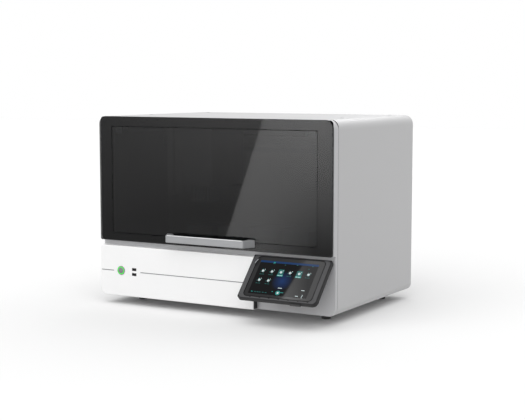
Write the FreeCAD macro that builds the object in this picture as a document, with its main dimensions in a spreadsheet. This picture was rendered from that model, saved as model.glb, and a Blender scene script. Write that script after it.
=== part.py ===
import FreeCAD, Part
import math
import operator
import os
import Sketcher
from types import SimpleNamespace

# Bench-top nucleic acid extractor. A lift-up tinted door closes a chamber in which a head with
# magnetic rods and a comb of sleeves travels over deep-well plates. A touch screen tilts in a
# recess at the lower right of the front.
# Millimetres. +X is to the right of someone who faces the front, +Y to the rear, +Z up.
# The origin lies under the middle of the bounding box, on the surface that the feet stand on.

driving_sizes = {
    # case
    "case_width": 730.0,
    "case_height": 501.0,
    "case_depth": 503.0,
    "foot_height": 25.0,
    "top_corner": 25.0,
    "base_corner": 18.0,
    "cover_wall": 2.0,
    "bezel_wall": 4.0,
    "bezel_reach": 30.3,
    "seam_gap": 1.4,
    "spigot_length": 8.0,
    "recess_depth": 19.0,
    "plate_wall": 2.0,
    "rear_recess": 6.0,
    "soft_edge": 2.0,
    "fit_gap": 0.3,
    "running_gap": 0.06,
    # lower front panel
    "panel_right_end": 134.6,
    "panel_height": 140.5,
    "panel_wall": 3.0,
    "panel_corner": 3.0,
    "trim_line_height": 70.0,
    "trim_line_width": 2.4,
    "trim_line_depth": 0.8,
    "button_place": -294.4,
    "button_height": 71.6,
    "button_flange": 12.5,
    "button_barrel": 11.0,
    "button_cap": 8.0,
    "button_travel": 2.0,
    "button_proud": 2.0,
    "socket_place": -250.0,
    "socket_pitch": 14.0,
    "socket_width": 15.0,
    "socket_height": 8.0,
    "socket_depth": 14.0,
    "socket_wall": 1.0,
    # door
    "door_side_gap": 0.5,
    "door_bottom": 155.0,
    "door_top_corner": 22.0,
    "door_base_corner": 5.0,
    "glass_thickness": 6.0,
    "frame_thickness": 2.0,
    "door_gap": 0.5,
    "window_half": 322.0,
    "window_bottom": 177.0,
    "window_top": 474.0,
    "frame_rim": 34.0,
    "frame_drop": 14.0,
    "window_corner": 4.0,
    "window_line_width": 1.6,
    "window_line_depth": 0.8,
    "hinge_place": 302.0,
    "hinge_width": 40.0,
    "hinge_knuckle": 3.0,
    "hinge_pin": 1.5,
    "hinge_set_back": 11.0,
    "hinge_drop": 4.5,
    "hinge_leaf": 2.0,
    "hinge_arm_share": 0.36,
    "hinge_strap_share": 0.6,
    "hinge_strap_drop": 19.0,
    "hinge_strap_height": 30.0,
    "hinge_screw_pitch": 12.0,
    "handle_length": 243.0,
    "handle_flare": 17.0,
    "handle_reach": 32.0,
    "handle_height": 20.0,
    "handle_bottom": 165.0,
    "handle_bar": 8.0,
    "handle_corner": 4.0,
    "handle_screw": 2.5,
    "handle_screw_rise": 8.3,
    "handle_screw_hold": 10.0,
    # chamber
    "opening_half": 316.0,
    "opening_bottom": 168.0,
    "opening_top": 480.0,
    "chamber_top": 482.0,
    "chamber_depth": 262.0,
    "liner_wall": 1.5,
    "deck_top": 150.0,
    "deck_thickness": 4.0,
    "post_radius": 6.0,
    # plates on their heated blocks
    "plate_pitch": 100.0,
    "plate_middle": 134.0,
    "plate_width": 85.5,
    "plate_length": 127.8,
    "plate_height": 44.0,
    "plate_skirt": 3.0,
    "nest_depth": 8.0,
    "nest_rim": 3.2,
    "block_height": 18.0,
    "well_pitch": 9.0,
    "well_width": 8.2,
    "well_depth": 40.0,
    # head
    "head_place": -81.0,
    "head_width": 97.0,
    "head_wall": 1.5,
    "head_front": 64.0,
    "head_bottom": 311.0,
    "head_top": 477.5,
    "head_plate_front": 219.5,
    "head_plate_rear": 227.0,
    "sleeve_tip": 267.0,
    "sleeve_length": 46.0,
    "sleeve_radius": 3.4,
    "sleeve_bore": 2.7,
    "rod_radius": 2.3,
    "rod_length": 53.0,
    "comb_flange": 2.0,
    "comb_width": 82.4,
    "comb_length": 119.4,
    "comb_floor": 1.5,
    "holder_half": 46.0,
    "holder_wall": 4.0,
    "holder_lip": 3.5,
    "holder_drop": 2.5,
    "holder_window": 72.0,
    "holder_window_length": 108.0,
    "holder_length": 120.0,
    "stage_half": 68.0,
    "stage_width": 80.0,
    "stage_wall": 5.0,
    "holder_height": 8.0,
    "rod_plate_height": 8.0,
    "lift_travel": 95.0,
    "rod_travel": 44.0,
    "lift_screw": 4.0,
    "rod_screw": 3.0,
    "lift_rail": 4.0,
    "lift_rail_half": 34.0,
    "lift_rail_set_back": 6.5,
    "lift_block_width": 88.0,
    "lift_block_depth": 11.3,
    "lift_length": 136.0,
    "end_block": 6.0,
    "rod_rail": 3.0,
    "rod_rail_half": 58.0,
    "bracket_rise": 16.0,
    "bracket_width": 60.0,
    "bracket_front": 66.0,
    "rod_plate_width": 74.0,
    "rod_plate_length": 128.0,
    "rod_nut": 8.0,
    "rod_nut_height": 12.0,
    "lift_block_top": 437.0,
    "lift_block_height": 30.0,
    "top_block_low": 440.0,
    "motor_width": 42.0,
    "lift_motor_height": 28.0,
    "rod_motor_width": 28.0,
    "duct_width": 18.0,
    "duct_offset": 30.0,
    "duct_bottom": 284.0,
    "duct_proud": 2.0,
    "wing_set_back": 9.0,
    "wing_wall": 3.0,
    "wing_rise": 6.0,
    "duct_boss": 3.0,
    "duct_boss_drop": 18.0,
    "duct_boss_low_drop": 75.0,
    # cross rail and belt
    "beam_depth": 20.0,
    "beam_height": 40.0,
    "beam_low": 400.0,
    "rail_width": 12.0,
    "rail_depth": 8.0,
    "carriage_length": 60.0,
    "carriage_height": 28.0,
    "belt_height": 455.0,
    "belt_half": 290.0,
    "belt_width": 8.4,
    "belt_thickness": 1.5,
    "pulley_radius": 7.7,
    "pulley_flange": 9.9,
    "pulley_rim": 0.8,
    "cross_motor_length": 40.0,
    "shaft_radius": 2.5,
    # screen
    "screen_tilt": 43.2,
    "screen_left": 135.2,
    "screen_right": 362.6,
    "screen_height": 136.5,
    "screen_thickness": 14.0,
    "screen_top_corner": 3.0,
    "screen_base_corner": 8.0,
    "screen_far_corner": 14.0,
    "screen_edge": 1.5,
    "screen_back_edge": 2.5,
    "screen_axis_set_back": 14.0,
    "screen_axis_height": 130.6,
    "screen_axis_drop": 7.0,
    "screen_knuckle": 3.0,
    "screen_pin": 1.5,
    "screen_ear_half": 12.3,
    "screen_ear_knuckle": 24.0,
    "screen_ear_reach": 30.0,
    "screen_ear_wall": 2.0,
    "bracket_plate_drop": 22.0,
    "touch_width": 199.5,
    "touch_height": 126.0,
    "touch_rise": 1.75,
    "touch_corner": 12.0,
    "touch_set_back": 0.4,
    "touch_thickness": 2.0,
    "display_width": 169.0,
    "display_height": 103.3,
    "display_shift": 2.4,
    "display_drop": 1.85,
    "display_thickness": 1.6,
    "lug_drop": 4.0,
    "lug_set_back": 3.0,
    "lug_thickness": 6.0,
    "lug_from_right": 73.0,
    "lug_width": 30.0,
    # rear
    "fan_width": 120.0,
    "fan_depth": 25.0,
    "fan_place": 0.0,
    "fan_height": 340.0,
    "fan_bore": 57.5,
    "fan_hub": 21.0,
    "fan_shaft": 2.0,
    "fan_hole_pitch": 105.0,
    "guard_wire": 1.2,
    "floor_slot_length": 90.0,
    "floor_slot_set_back": 140.0,
    "floor_slot_pitch": 12.0,
    "rear_slot_length": 36.0,
    "rear_slot_pitch": 9.0,
    "rear_slot_height": 208.0,
    "inlet_place": -270.0,
    "inlet_width": 50.0,
    "inlet_height": 80.0,
    "inlet_block_height": 28.0,
    "inlet_depth": 17.0,
    "rocker_width": 24.0,
    "rocker_pin": 1.5,
    "ports_place": 210.0,
    "ports_width": 41.0,
    "screw_radius": 2.0,
    "screw_head": 2.2,
    "board_screw_post": 4.0,
    "foot_place": 295.0,
    "foot_front": 105.0,
    "foot_rear": 450.0,
    "foot_radius": 14.0,
    "foot_tread": 12.5,
    "foot_screw": 2.5,
    "cap_place": 306.0,
    "cap_front": 169.0,
    "cap_rear": 473.0,
    "cap_radius": 5.0,
    "cap_height": 0.6,
}


# A number that remembers how it is worked out from the sheet
class Size:
    def __init__(self, text, number):
        self.text = text
        self.number = number

    def __add__(self, other):
        return combine(self, other, "+", operator.add)

    def __radd__(self, other):
        return combine(other, self, "+", operator.add)

    def __sub__(self, other):
        return combine(self, other, "-", operator.sub)

    def __rsub__(self, other):
        return combine(other, self, "-", operator.sub)

    def __mul__(self, other):
        return combine(self, other, "*", operator.mul)

    def __rmul__(self, other):
        return combine(other, self, "*", operator.mul)

    def __truediv__(self, other):
        return combine(self, other, "/", operator.truediv)

    def __neg__(self):
        return Size("(-%s)" % self.text, -self.number)


def as_size(value):
    if isinstance(value, Size):
        return value
    return Size("(%.6f)" % value, float(value))


def combine(first, second, sign, act):
    first = as_size(first)
    second = as_size(second)
    return Size("(%s %s %s)" % (first.text, sign, second.text), act(first.number, second.number))


def sine(angle):
    return Size("sin(%s)" % angle.text, math.sin(math.radians(angle.number)))


def cosine(angle):
    return Size("cos(%s)" % angle.text, math.cos(math.radians(angle.number)))


doc = FreeCAD.newDocument("extractor")
sheet = doc.addObject("Spreadsheet::Sheet", "sizes")
for row, (alias, value) in enumerate(driving_sizes.items(), start=1):
    sheet.set("A%d" % row, alias)
    sheet.set("B%d" % row, str(value))
    sheet.setAlias("B%d" % row, alias)
doc.recompute()
s = SimpleNamespace(**{alias: Size("sizes." + alias, value) for alias, value in driving_sizes.items()})
nodes = {}


# Spans and places

def bind(thing, path, value):
    thing.setExpression(path, as_size(value).text)


def place(thing, x, y, z):
    for letter, value in zip("xyz", (x, y, z)):
        bind(thing, "Placement.Base." + letter, value)
    return thing


def around(middle, width):
    middle = as_size(middle)
    return (middle - width / 2, middle + width / 2)


def grown(span, amount):
    return (span[0] - amount, span[1] + amount)


def beside(middle, side, near_end, far_end):
    if side < 0:
        return (middle - far_end, middle - near_end)
    return (middle + near_end, middle + far_end)


def keep(name, thing):
    thing.Label = name
    nodes[name] = thing
    return thing


# Primitives and booleans

def box(name, across, deep, high):
    thing = doc.addObject("Part::Box", name)
    for path, span in (("Length", across), ("Width", deep), ("Height", high)):
        bind(thing, path, as_size(span[1]) - span[0])
    return place(thing, across[0], deep[0], high[0])


axis_turns = {
    "x": FreeCAD.Rotation(FreeCAD.Vector(0, 1, 0), 90),
    "y": FreeCAD.Rotation(FreeCAD.Vector(1, 0, 0), -90),
    "z": FreeCAD.Rotation(),
}


def start_of(along, centre, low):
    first, second = centre
    return {"x": (low, first, second), "y": (first, low, second), "z": (first, second, low)}[along]


def cylinder(name, along, centre, span, radius):
    thing = doc.addObject("Part::Cylinder", name)
    bind(thing, "Radius", radius)
    bind(thing, "Height", as_size(span[1]) - span[0])
    thing.Placement.Rotation = axis_turns[along]
    return place(thing, *start_of(along, centre, span[0]))


def torus(name, along, centre, level, radius, thickness):
    thing = doc.addObject("Part::Torus", name)
    bind(thing, "Radius1", radius)
    bind(thing, "Radius2", thickness)
    thing.Placement.Rotation = axis_turns[along]
    return place(thing, *start_of(along, centre, level))


def group(name, solids):
    thing = doc.addObject("Part::Compound", name)
    thing.Links = list(solids)
    return thing


def fuse(name, *solids):
    thing = doc.addObject("Part::MultiFuse", name)
    thing.Shapes = list(solids)
    return thing


def cut(name, base, *tools):
    thing = doc.addObject("Part::Cut", name)
    thing.Base = base
    thing.Tool = tools[0] if len(tools) == 1 else group(name + "_tools", tools)
    return thing


# Sketched bodies: an outline is drawn on a plane of the body's own origin

def rect(across, upward, radii=(0, 0, 0, 0)):
    return ("rect", across, upward, radii)


def disc(x, y, radius):
    return ("disc", x, y, radius)


def loop(*points):
    return ("loop", points)


def hold(sketch, way, geometry, point, value):
    value = as_size(value)
    index = sketch.addConstraint(Sketcher.Constraint(way, -1, 1, geometry, point, value.number))
    bind(sketch, "Constraints[%d]" % index, value)


def draw_loop(sketch, points):
    vectors = [FreeCAD.Vector(as_size(x).number, as_size(y).number, 0) for x, y in points]
    lines = []
    for index, start in enumerate(vectors):
        end = vectors[(index + 1) % len(vectors)]
        lines.append(sketch.addGeometry(Part.LineSegment(start, end)))
    for index, line in enumerate(lines):
        following = lines[(index + 1) % len(lines)]
        sketch.addConstraint(Sketcher.Constraint("Coincident", line, 2, following, 1))
        hold(sketch, "DistanceX", line, 1, points[index][0])
        hold(sketch, "DistanceY", line, 1, points[index][1])


def draw_rect(sketch, across, upward, radii):
    x0, x1 = [as_size(value).number for value in across]
    y0, y1 = [as_size(value).number for value in upward]
    curves = [as_size(radius) for radius in radii]
    low_left, low_right, top_right, top_left = [curve.number for curve in curves]
    point = FreeCAD.Vector
    sides = [
        Part.LineSegment(point(x0 + low_left, y0, 0), point(x1 - low_right, y0, 0)),
        Part.LineSegment(point(x1, y0 + low_right, 0), point(x1, y1 - top_right, 0)),
        Part.LineSegment(point(x1 - top_right, y1, 0), point(x0 + top_left, y1, 0)),
        Part.LineSegment(point(x0, y1 - top_left, 0), point(x0, y0 + low_left, 0)),
    ]
    lines = [sketch.addGeometry(side) for side in sides]
    corners = [(x1, y0, -1, 1), (x1, y1, -1, -1), (x0, y1, 1, -1), (x0, y0, 1, 1)]
    for index, (x, y, inward, upright) in enumerate(corners):
        line = lines[index]
        following = lines[(index + 1) % 4]
        curve = curves[(index + 1) % 4]
        if curve.number == 0:
            sketch.addConstraint(Sketcher.Constraint("Coincident", line, 2, following, 1))
            continue
        middle = point(x + inward * curve.number, y + upright * curve.number, 0)
        circle = Part.Circle(middle, point(0, 0, 1), curve.number)
        start = math.radians(90 * index - 90)
        arc = sketch.addGeometry(Part.ArcOfCircle(circle, start, start + math.pi / 2))
        sketch.addConstraint(Sketcher.Constraint("Tangent", line, 2, arc, 1))
        sketch.addConstraint(Sketcher.Constraint("Tangent", arc, 2, following, 1))
        radius = sketch.addConstraint(Sketcher.Constraint("Radius", arc, curve.number))
        bind(sketch, "Constraints[%d]" % radius, curve)
    for line, way in zip(lines, ("Horizontal", "Vertical", "Horizontal", "Vertical")):
        sketch.addConstraint(Sketcher.Constraint(way, line))
    hold(sketch, "DistanceY", lines[0], 1, upward[0])
    hold(sketch, "DistanceX", lines[1], 1, across[1])
    hold(sketch, "DistanceY", lines[2], 1, upward[1])
    hold(sketch, "DistanceX", lines[3], 1, across[0])


def draw_disc(sketch, x, y, radius):
    middle = FreeCAD.Vector(as_size(x).number, as_size(y).number, 0)
    radius = as_size(radius)
    circle = sketch.addGeometry(Part.Circle(middle, FreeCAD.Vector(0, 0, 1), radius.number))
    hold(sketch, "DistanceX", circle, 3, x)
    hold(sketch, "DistanceY", circle, 3, y)
    index = sketch.addConstraint(Sketcher.Constraint("Radius", circle, radius.number))
    bind(sketch, "Constraints[%d]" % index, radius)


def sketch_on(body, plane, level, outlines):
    sketch = body.newObject("Sketcher::SketchObject", body.Name + "_sketch")
    support = [item for item in body.Origin.OriginFeatures if item.Role == plane + "_Plane"][0]
    sketch.AttachmentSupport = [(support, "")]
    sketch.MapMode = "FlatFace"
    level = as_size(level)
    bind(sketch, "AttachmentOffset.Base.z", -level if plane == "XZ" else level)
    for kind, *values in outlines:
        if kind == "rect":
            draw_rect(sketch, *values)
        elif kind == "disc":
            draw_disc(sketch, *values)
        else:
            draw_loop(sketch, *values)
    return sketch


def new_body(name):
    return doc.addObject("PartDesign::Body", name)


def pad(body, plane, span, *outlines):
    feature = body.newObject("PartDesign::Pad", body.Name + "_pad")
    feature.Profile = sketch_on(body, plane, span[0], outlines)
    feature.Reversed = plane == "XZ"
    bind(feature, "Length", as_size(span[1]) - span[0])
    body.Tip = feature
    doc.recompute()
    return feature


def pocket(body, plane, span, *outlines):
    before = body.Shape.Volume
    feature = body.newObject("PartDesign::Pocket", body.Name + "_pocket")
    feature.Profile = sketch_on(body, plane, span[0], outlines)
    feature.Reversed = plane != "XZ"
    bind(feature, "Length", as_size(span[1]) - span[0])
    body.Tip = feature
    doc.recompute()
    if body.Shape.Volume >= before:
        raise ValueError("a pocket of %s cuts nothing" % body.Name)
    return feature


def revolve(body, plane, *outlines):
    feature = body.newObject("PartDesign::Revolution", body.Name + "_turned")
    sketch = sketch_on(body, plane, 0, outlines)
    feature.Profile = sketch
    feature.ReferenceAxis = (sketch, ["V_Axis"])
    feature.Angle = 360
    body.Tip = feature
    doc.recompute()
    return feature


def soften(body, radius, wanted):
    last = body.Tip
    names = ["Edge%d" % (index + 1) for index, edge in enumerate(last.Shape.Edges) if wanted(edge.BoundBox)]
    feature = body.newObject("PartDesign::Fillet", body.Name + "_fillet")
    feature.Base = (last, names)
    bind(feature, "Radius", radius)
    body.Tip = feature
    doc.recompute()
    return feature


def near(value, size):
    return abs(value - as_size(size).number) < 0.01


# Places that several pieces share

half_case = s.case_width / 2
base = s.foot_height
top = base + s.case_height
screen_low = s.screen_height - s.screen_axis_drop
screen_front = s.screen_thickness + s.screen_knuckle
screen_reach = (
    (screen_front - s.lug_set_back) * cosine(s.screen_tilt)
    + (screen_low + s.lug_drop) * sine(s.screen_tilt)
    - s.screen_axis_set_back
)
front = (screen_reach - s.case_depth) / 2
rear = front + s.case_depth
door_rear = front + s.glass_thickness + s.frame_thickness
bezel_front = door_rear + s.door_gap
bezel_rear = front + s.bezel_reach
cover_front = bezel_rear + s.seam_gap
recess_face = front + s.recess_depth
recess_back = recess_face + s.bezel_wall
floor_top = base + s.cover_wall + s.plate_wall
panel_rear = rear - s.rear_recess
panel_front = panel_rear - s.plate_wall
deck = base + s.deck_top
deck_low = deck - s.deck_thickness
wall_face = front + s.chamber_depth
wall_rear = wall_face + s.liner_wall
ceiling = base + s.chamber_top
case_radii = (s.base_corner, s.base_corner, s.top_corner, s.top_corner)
case_across = (-half_case, half_case)
case_upward = (base, top)


def inset_radii(wall):
    return tuple(radius - wall for radius in case_radii)


def case_outline(inset=0):
    if inset == 0:
        return rect(case_across, case_upward, case_radii)
    return rect(grown(case_across, -inset), grown(case_upward, -inset), inset_radii(inset))


# Case

def make_outer_cover():
    cover = new_body("outer_cover_body")
    pad(cover, "XZ", (cover_front, rear), case_outline(), case_outline(s.cover_wall))
    return cover


def make_front_bezel():
    bezel = new_body("front_bezel_body")
    step_top = base + s.door_bottom + s.door_gap
    shelf_top = step_top + s.bezel_wall
    inner_across = grown(case_across, -s.bezel_wall)
    inner_top = top - s.bezel_wall
    inner = inset_radii(s.bezel_wall)
    opening = (base + s.opening_bottom, base + s.opening_top)
    opening_across = (-s.opening_half, s.opening_half)
    pad(bezel, "XZ", (bezel_front, bezel_rear), case_outline())
    beyond = grown(case_across, s.bezel_wall)
    pocket(bezel, "XZ", (bezel_front, recess_face), rect(beyond, (base - s.bezel_wall, step_top)))
    soften(bezel, s.soft_edge, lambda edge: (
        near(edge.YMin, bezel_front) and near(edge.YMax, bezel_front) and not near(edge.ZMax, step_top)
    ))
    pocket(
        bezel, "XZ", (bezel_front + s.bezel_wall, bezel_rear),
        rect(inner_across, (shelf_top, inner_top), (0, 0, inner[2], inner[3])),
    )
    pocket(
        bezel, "XZ", (recess_back, bezel_rear),
        rect(inner_across, (base + s.bezel_wall, shelf_top), (inner[0], inner[1], 0, 0)),
    )
    rim = grown(opening_across, s.bezel_wall)
    pad(
        bezel, "XZ", (bezel_front + s.bezel_wall - s.soft_edge, recess_back),
        rect(rim, (step_top, opening[1] + s.bezel_wall)),
    )
    pocket(bezel, "XZ", (bezel_front, recess_back), rect(opening_across, opening))
    pad(
        bezel, "XZ", (bezel_rear - s.soft_edge, bezel_rear + s.spigot_length),
        case_outline(s.cover_wall), case_outline(s.bezel_wall),
    )
    for side in (-1, 1):
        across = around(side * s.hinge_place, s.hinge_width + 2 * s.fit_gap)
        pocket(
            bezel, "XZ", (bezel_front, front + s.hinge_set_back + s.hinge_knuckle + s.fit_gap),
            rect(across, (opening[1] - 1, top - s.hinge_drop + s.hinge_knuckle + s.fit_gap)),
        )
        seal_across = around(side * seal_place, seal_width)
        pocket(bezel, "XZ", (bezel_front, bezel_front + seal_depth), rect(seal_across, seal_upward))
    pocket(
        bezel, "XZ", (recess_face, recess_back),
        disc(screen_middle, base + s.panel_height / 2, cable_hole),
    )
    return bezel


seal_width = s.bezel_wall * 1.5
seal_depth = s.bezel_wall / 2
seal_place = s.opening_half + s.bezel_wall + seal_width
seal_upward = (base + s.window_bottom, base + s.window_top)
screen_middle = (s.screen_left + s.screen_right) / 2
cable_hole = s.soft_edge * 4


def make_seals():
    strips = []
    for side in (-1, 1):
        across = around(side * seal_place, seal_width)
        deep = (door_rear + s.fit_gap, bezel_front + seal_depth)
        strips.append(box("seal_strip", across, deep, seal_upward))
    return group("door_seal_strips", strips)


def make_lower_panel():
    panel = new_body("lower_front_panel_body")
    across = (-half_case + s.door_side_gap, s.panel_right_end)
    upward = (base, base + s.panel_height)
    wall = s.panel_wall
    corner = s.panel_corner
    pad(
        panel, "XZ", (front, recess_face),
        rect(across, upward, (s.base_corner, corner, corner, corner)),
    )
    soften(panel, s.soft_edge, lambda edge: near(edge.YMin, front) and near(edge.YMax, front))
    pocket(
        panel, "XZ", (front + wall, recess_face),
        rect(grown(across, -wall), grown(upward, -wall), (s.base_corner - wall, 0, 0, 0)),
    )
    line_upward = around(base + s.trim_line_height, s.trim_line_width)
    button_room = s.button_flange * 2
    socket_room = s.socket_width * 1.4
    pocket(
        panel, "XZ", (front, front + s.trim_line_depth),
        rect((-half_case + wall, s.button_place - button_room), line_upward),
        rect((s.socket_place + socket_room, s.panel_right_end - wall), line_upward),
    )
    pocket(
        panel, "XZ", (front, front + wall),
        disc(s.button_place, base + s.button_height, s.button_barrel),
    )
    for way in (-0.5, 0.5):
        middle = base + s.trim_line_height + s.socket_pitch * way
        pocket(
            panel, "XZ", (front, front + wall),
            rect(around(s.socket_place, s.socket_width), around(middle, s.socket_height)),
        )
    return panel


def make_front_sockets():
    shells = []
    wall = s.socket_wall
    for way in (-0.5, 0.5):
        middle = base + s.trim_line_height + s.socket_pitch * way
        across = around(s.socket_place, s.socket_width)
        upward = around(middle, s.socket_height)
        deep = (front + s.trim_line_depth, front + s.socket_depth)
        shell = cut(
            "socket_shell",
            box("socket_block", across, deep, upward),
            box("socket_mouth", grown(across, -wall), (front, deep[1] - wall), grown(upward, -wall)),
        )
        tongue = box(
            "socket_tongue", grown(across, -wall * 2), (deep[0] + wall, deep[1] - wall / 2),
            (middle, middle + wall * 1.8),
        )
        shells.append(fuse("socket", shell, tongue))
    return group("usb_sockets", shells)


def make_button_body():
    body = new_body("power_button_body_turned")
    bore = s.button_cap + s.running_gap
    groove = s.button_cap + 1
    length = s.recess_depth - s.panel_wall / 2
    ring_depth = s.button_proud - 1
    revolve(body, "XY", loop(
        (bore, -s.button_proud),
        (groove, -s.button_proud),
        (groove, -ring_depth),
        (groove + 1.6, -ring_depth),
        (groove + 1.6, -s.button_proud),
        (s.button_flange - 1, -s.button_proud),
        (s.button_flange, -s.button_proud + 1),
        (s.button_flange, 0),
        (s.button_barrel, 0),
        (s.button_barrel, length),
        (0, length),
        (0, length - s.panel_wall),
        (bore, length - s.panel_wall),
    ))
    return place(body, s.button_place, front, base + s.button_height)


def make_button_ring():
    low = front - s.button_proud
    centre = (s.button_place, base + s.button_height)
    span = (low, low + 1)
    ring = cylinder("ring_disc", "y", centre, span, s.button_cap + 2.6)
    return cut("power_button_light", ring, cylinder("ring_hole", "y", centre, span, s.button_cap + 1))


def make_button_cap():
    cap = new_body("power_button_cap_turned")
    proud = s.button_proud + 1
    depth = s.panel_wall * 2
    revolve(cap, "XY", loop(
        (0, -proud - 0.5),
        (s.button_cap - 2, -proud),
        (s.button_cap, -proud + 1),
        (s.button_cap, depth),
        (0, depth),
    ))
    return place(cap, s.button_place, front, base + s.button_height)


def foot_places():
    for side in (-1, 1):
        for depth in (s.foot_front, s.foot_rear):
            yield (side * s.foot_place, front + depth)


def cut_floor(body, upward):
    openings = [disc(x, y, s.foot_screw + s.fit_gap) for x, y in foot_places()]
    for index in range(-4, 5):
        across = around(s.floor_slot_pitch * index, s.bezel_wall)
        openings.append(rect(across, around(rear - s.floor_slot_set_back, s.floor_slot_length)))
    pocket(body, "XY", upward, *openings)


def make_base_plate():
    plate = new_body("base_plate_body")
    across = grown(case_across, -s.cover_wall - s.base_corner)
    deep = (bezel_rear + s.spigot_length + s.seam_gap, panel_front)
    upward = (base + s.cover_wall, floor_top)
    pad(plate, "XY", upward, rect(across, deep))
    cut_floor(plate, upward)
    return plate


def make_feet():
    feet = []
    head_room = s.foot_screw * 3
    for x, y in foot_places():
        foot = new_body("foot")
        revolve(foot, "XZ", loop(
            (head_room, 0),
            (s.foot_tread - 1, 0),
            (s.foot_tread, 1),
            (s.foot_radius, s.foot_height),
            (s.foot_screw, s.foot_height),
            (s.foot_screw, head_room),
            (head_room, head_room),
        ))
        feet.append(place(foot, x, y, 0))
    return group("feet", feet)


def make_foot_screws():
    screws = []
    head_room = s.foot_screw * 3
    for x, y in foot_places():
        shank = cylinder("foot_shank", "z", (x, y), (head_room, floor_top), s.foot_screw)
        head = cylinder("foot_head", "z", (x, y), (head_room - s.foot_screw, head_room), s.foot_screw * 2)
        nut = cylinder("foot_nut", "z", (x, y), (floor_top, floor_top + s.bezel_wall), s.foot_screw * 2)
        screws.append(fuse("foot_screw", shank, head, nut))
    return screws


def make_top_caps():
    caps = []
    for side in (-1, 1):
        for depth in (s.cap_front, s.cap_rear):
            centre = (side * s.cap_place, front + depth)
            caps.append(cylinder("top_cap", "z", centre, (top, top + s.cap_height), s.cap_radius))
    return caps


# Rear panel, fans and sockets

fan_centre = (s.fan_place, base + s.fan_height)
inlet_middle = base + s.inlet_height
inlet_upward = around(inlet_middle, s.inlet_block_height)
inlet_across = around(s.inlet_place, s.inlet_width)
rocker_across = (inlet_across[1], inlet_across[1] + s.rocker_width)
ports_across = around(s.ports_place, s.ports_width)


def fan_hole_places():
    half = s.fan_hole_pitch / 2
    for side in (-1, 1):
        for upright in (-1, 1):
            yield (fan_centre[0] + half * side, fan_centre[1] + half * upright)


def rear_screw_places():
    inset = s.base_corner + s.cover_wall
    for side in (-1, 1):
        for upright in (base + inset * 2, base + s.case_height / 2, top - inset * 2):
            yield ((half_case - inset) * side, upright)


def make_rear_panel():
    panel = new_body("rear_panel_body")
    span = (panel_front, panel_rear)
    pad(panel, "XZ", span, case_outline(s.cover_wall))
    pocket(panel, "XZ", span, disc(*fan_centre, s.fan_bore))
    pocket(panel, "XZ", span, *[disc(x, z, s.screw_radius) for x, z in fan_hole_places()])
    inlet_hole = rect((inlet_across[0], rocker_across[1]), inlet_upward)
    pocket(panel, "XZ", span, inlet_hole, rect(ports_across, inlet_upward))
    slots = []
    for row in range(5):
        middle = base + s.rear_slot_height - s.rear_slot_pitch * row
        for column in range(-3, 4):
            across = around((s.rear_slot_length + s.rear_slot_pitch) * column, s.rear_slot_length)
            slots.append(rect(across, around(middle, s.bezel_wall)))
    pocket(panel, "XZ", span, *slots)
    pocket(panel, "XZ", span, *[disc(x, z, s.screw_radius) for x, z in rear_screw_places()])
    return panel


def pan_screw(centre, start, level):
    shank = cylinder("screw_shank", "y", centre, (start, level), s.screw_radius)
    head = cylinder("screw_head", "y", centre, (level, level + s.screw_head), s.screw_radius * 2)
    return fuse("pan_screw", shank, head)


def make_fan_frame():
    x, height = fan_centre
    deep = (panel_front - s.fan_depth, panel_front)
    block = box("fan_block", around(x, s.fan_width), deep, around(height, s.fan_width))
    bore = cylinder("fan_bore", "y", fan_centre, deep, s.fan_bore)
    holes = [cylinder("fan_hole", "y", centre, deep, s.screw_radius) for centre in fan_hole_places()]
    ring = cut("fan_ring", block, bore, *holes)
    thick = s.bezel_wall
    rib = (deep[0], deep[0] + thick)
    struts = []
    for across, upright in ((s.fan_bore, thick / 2), (thick / 2, s.fan_bore)):
        span = around(x, across * 2 + 1)
        struts.append(box("fan_strut", span, rib, around(height, upright * 2 + 1)))
    boss = cylinder("fan_boss", "y", fan_centre, rib, s.fan_hub)
    shaft = cylinder("fan_shaft", "y", fan_centre, (deep[0], deep[1] - thick), s.fan_shaft)
    return fuse("fan_frame", ring, boss, shaft, *struts)


# The rotor has a hub with a bore for the shaft and seven pitched blades
def make_fan_rotor():
    blades = 7
    depth = s.fan_depth.number - 2 * s.bezel_wall.number
    hub_radius = s.fan_hub.number - 0.5
    reach = s.fan_bore.number - 1.5
    origin = FreeCAD.Vector(0, 0, 0)
    along = FreeCAD.Vector(0, 1, 0)
    solid = Part.makeCylinder(hub_radius, depth, origin, along)
    for index in range(blades):
        blade = Part.makeBox(reach - hub_radius + 1, depth - 1, 1.6)
        blade.translate(FreeCAD.Vector(hub_radius - 1, (1 - depth) / 2, -0.8))
        blade.rotate(origin, FreeCAD.Vector(1, 0, 0), 38)
        blade.translate(along * (depth / 2))
        blade.rotate(origin, along, index * 360 / blades)
        solid = solid.fuse(blade)
    limit = Part.makeCylinder(reach, depth, origin, along)
    bore = Part.makeCylinder(s.fan_shaft.number + s.running_gap.number, depth, origin, along)
    rotor = doc.addObject("Part::Feature", "fan_rotor_shape")
    rotor.Shape = solid.common(limit).cut(bore)
    return place(rotor, fan_centre[0], panel_front - s.fan_depth + s.bezel_wall + s.fit_gap, fan_centre[1])


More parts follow.
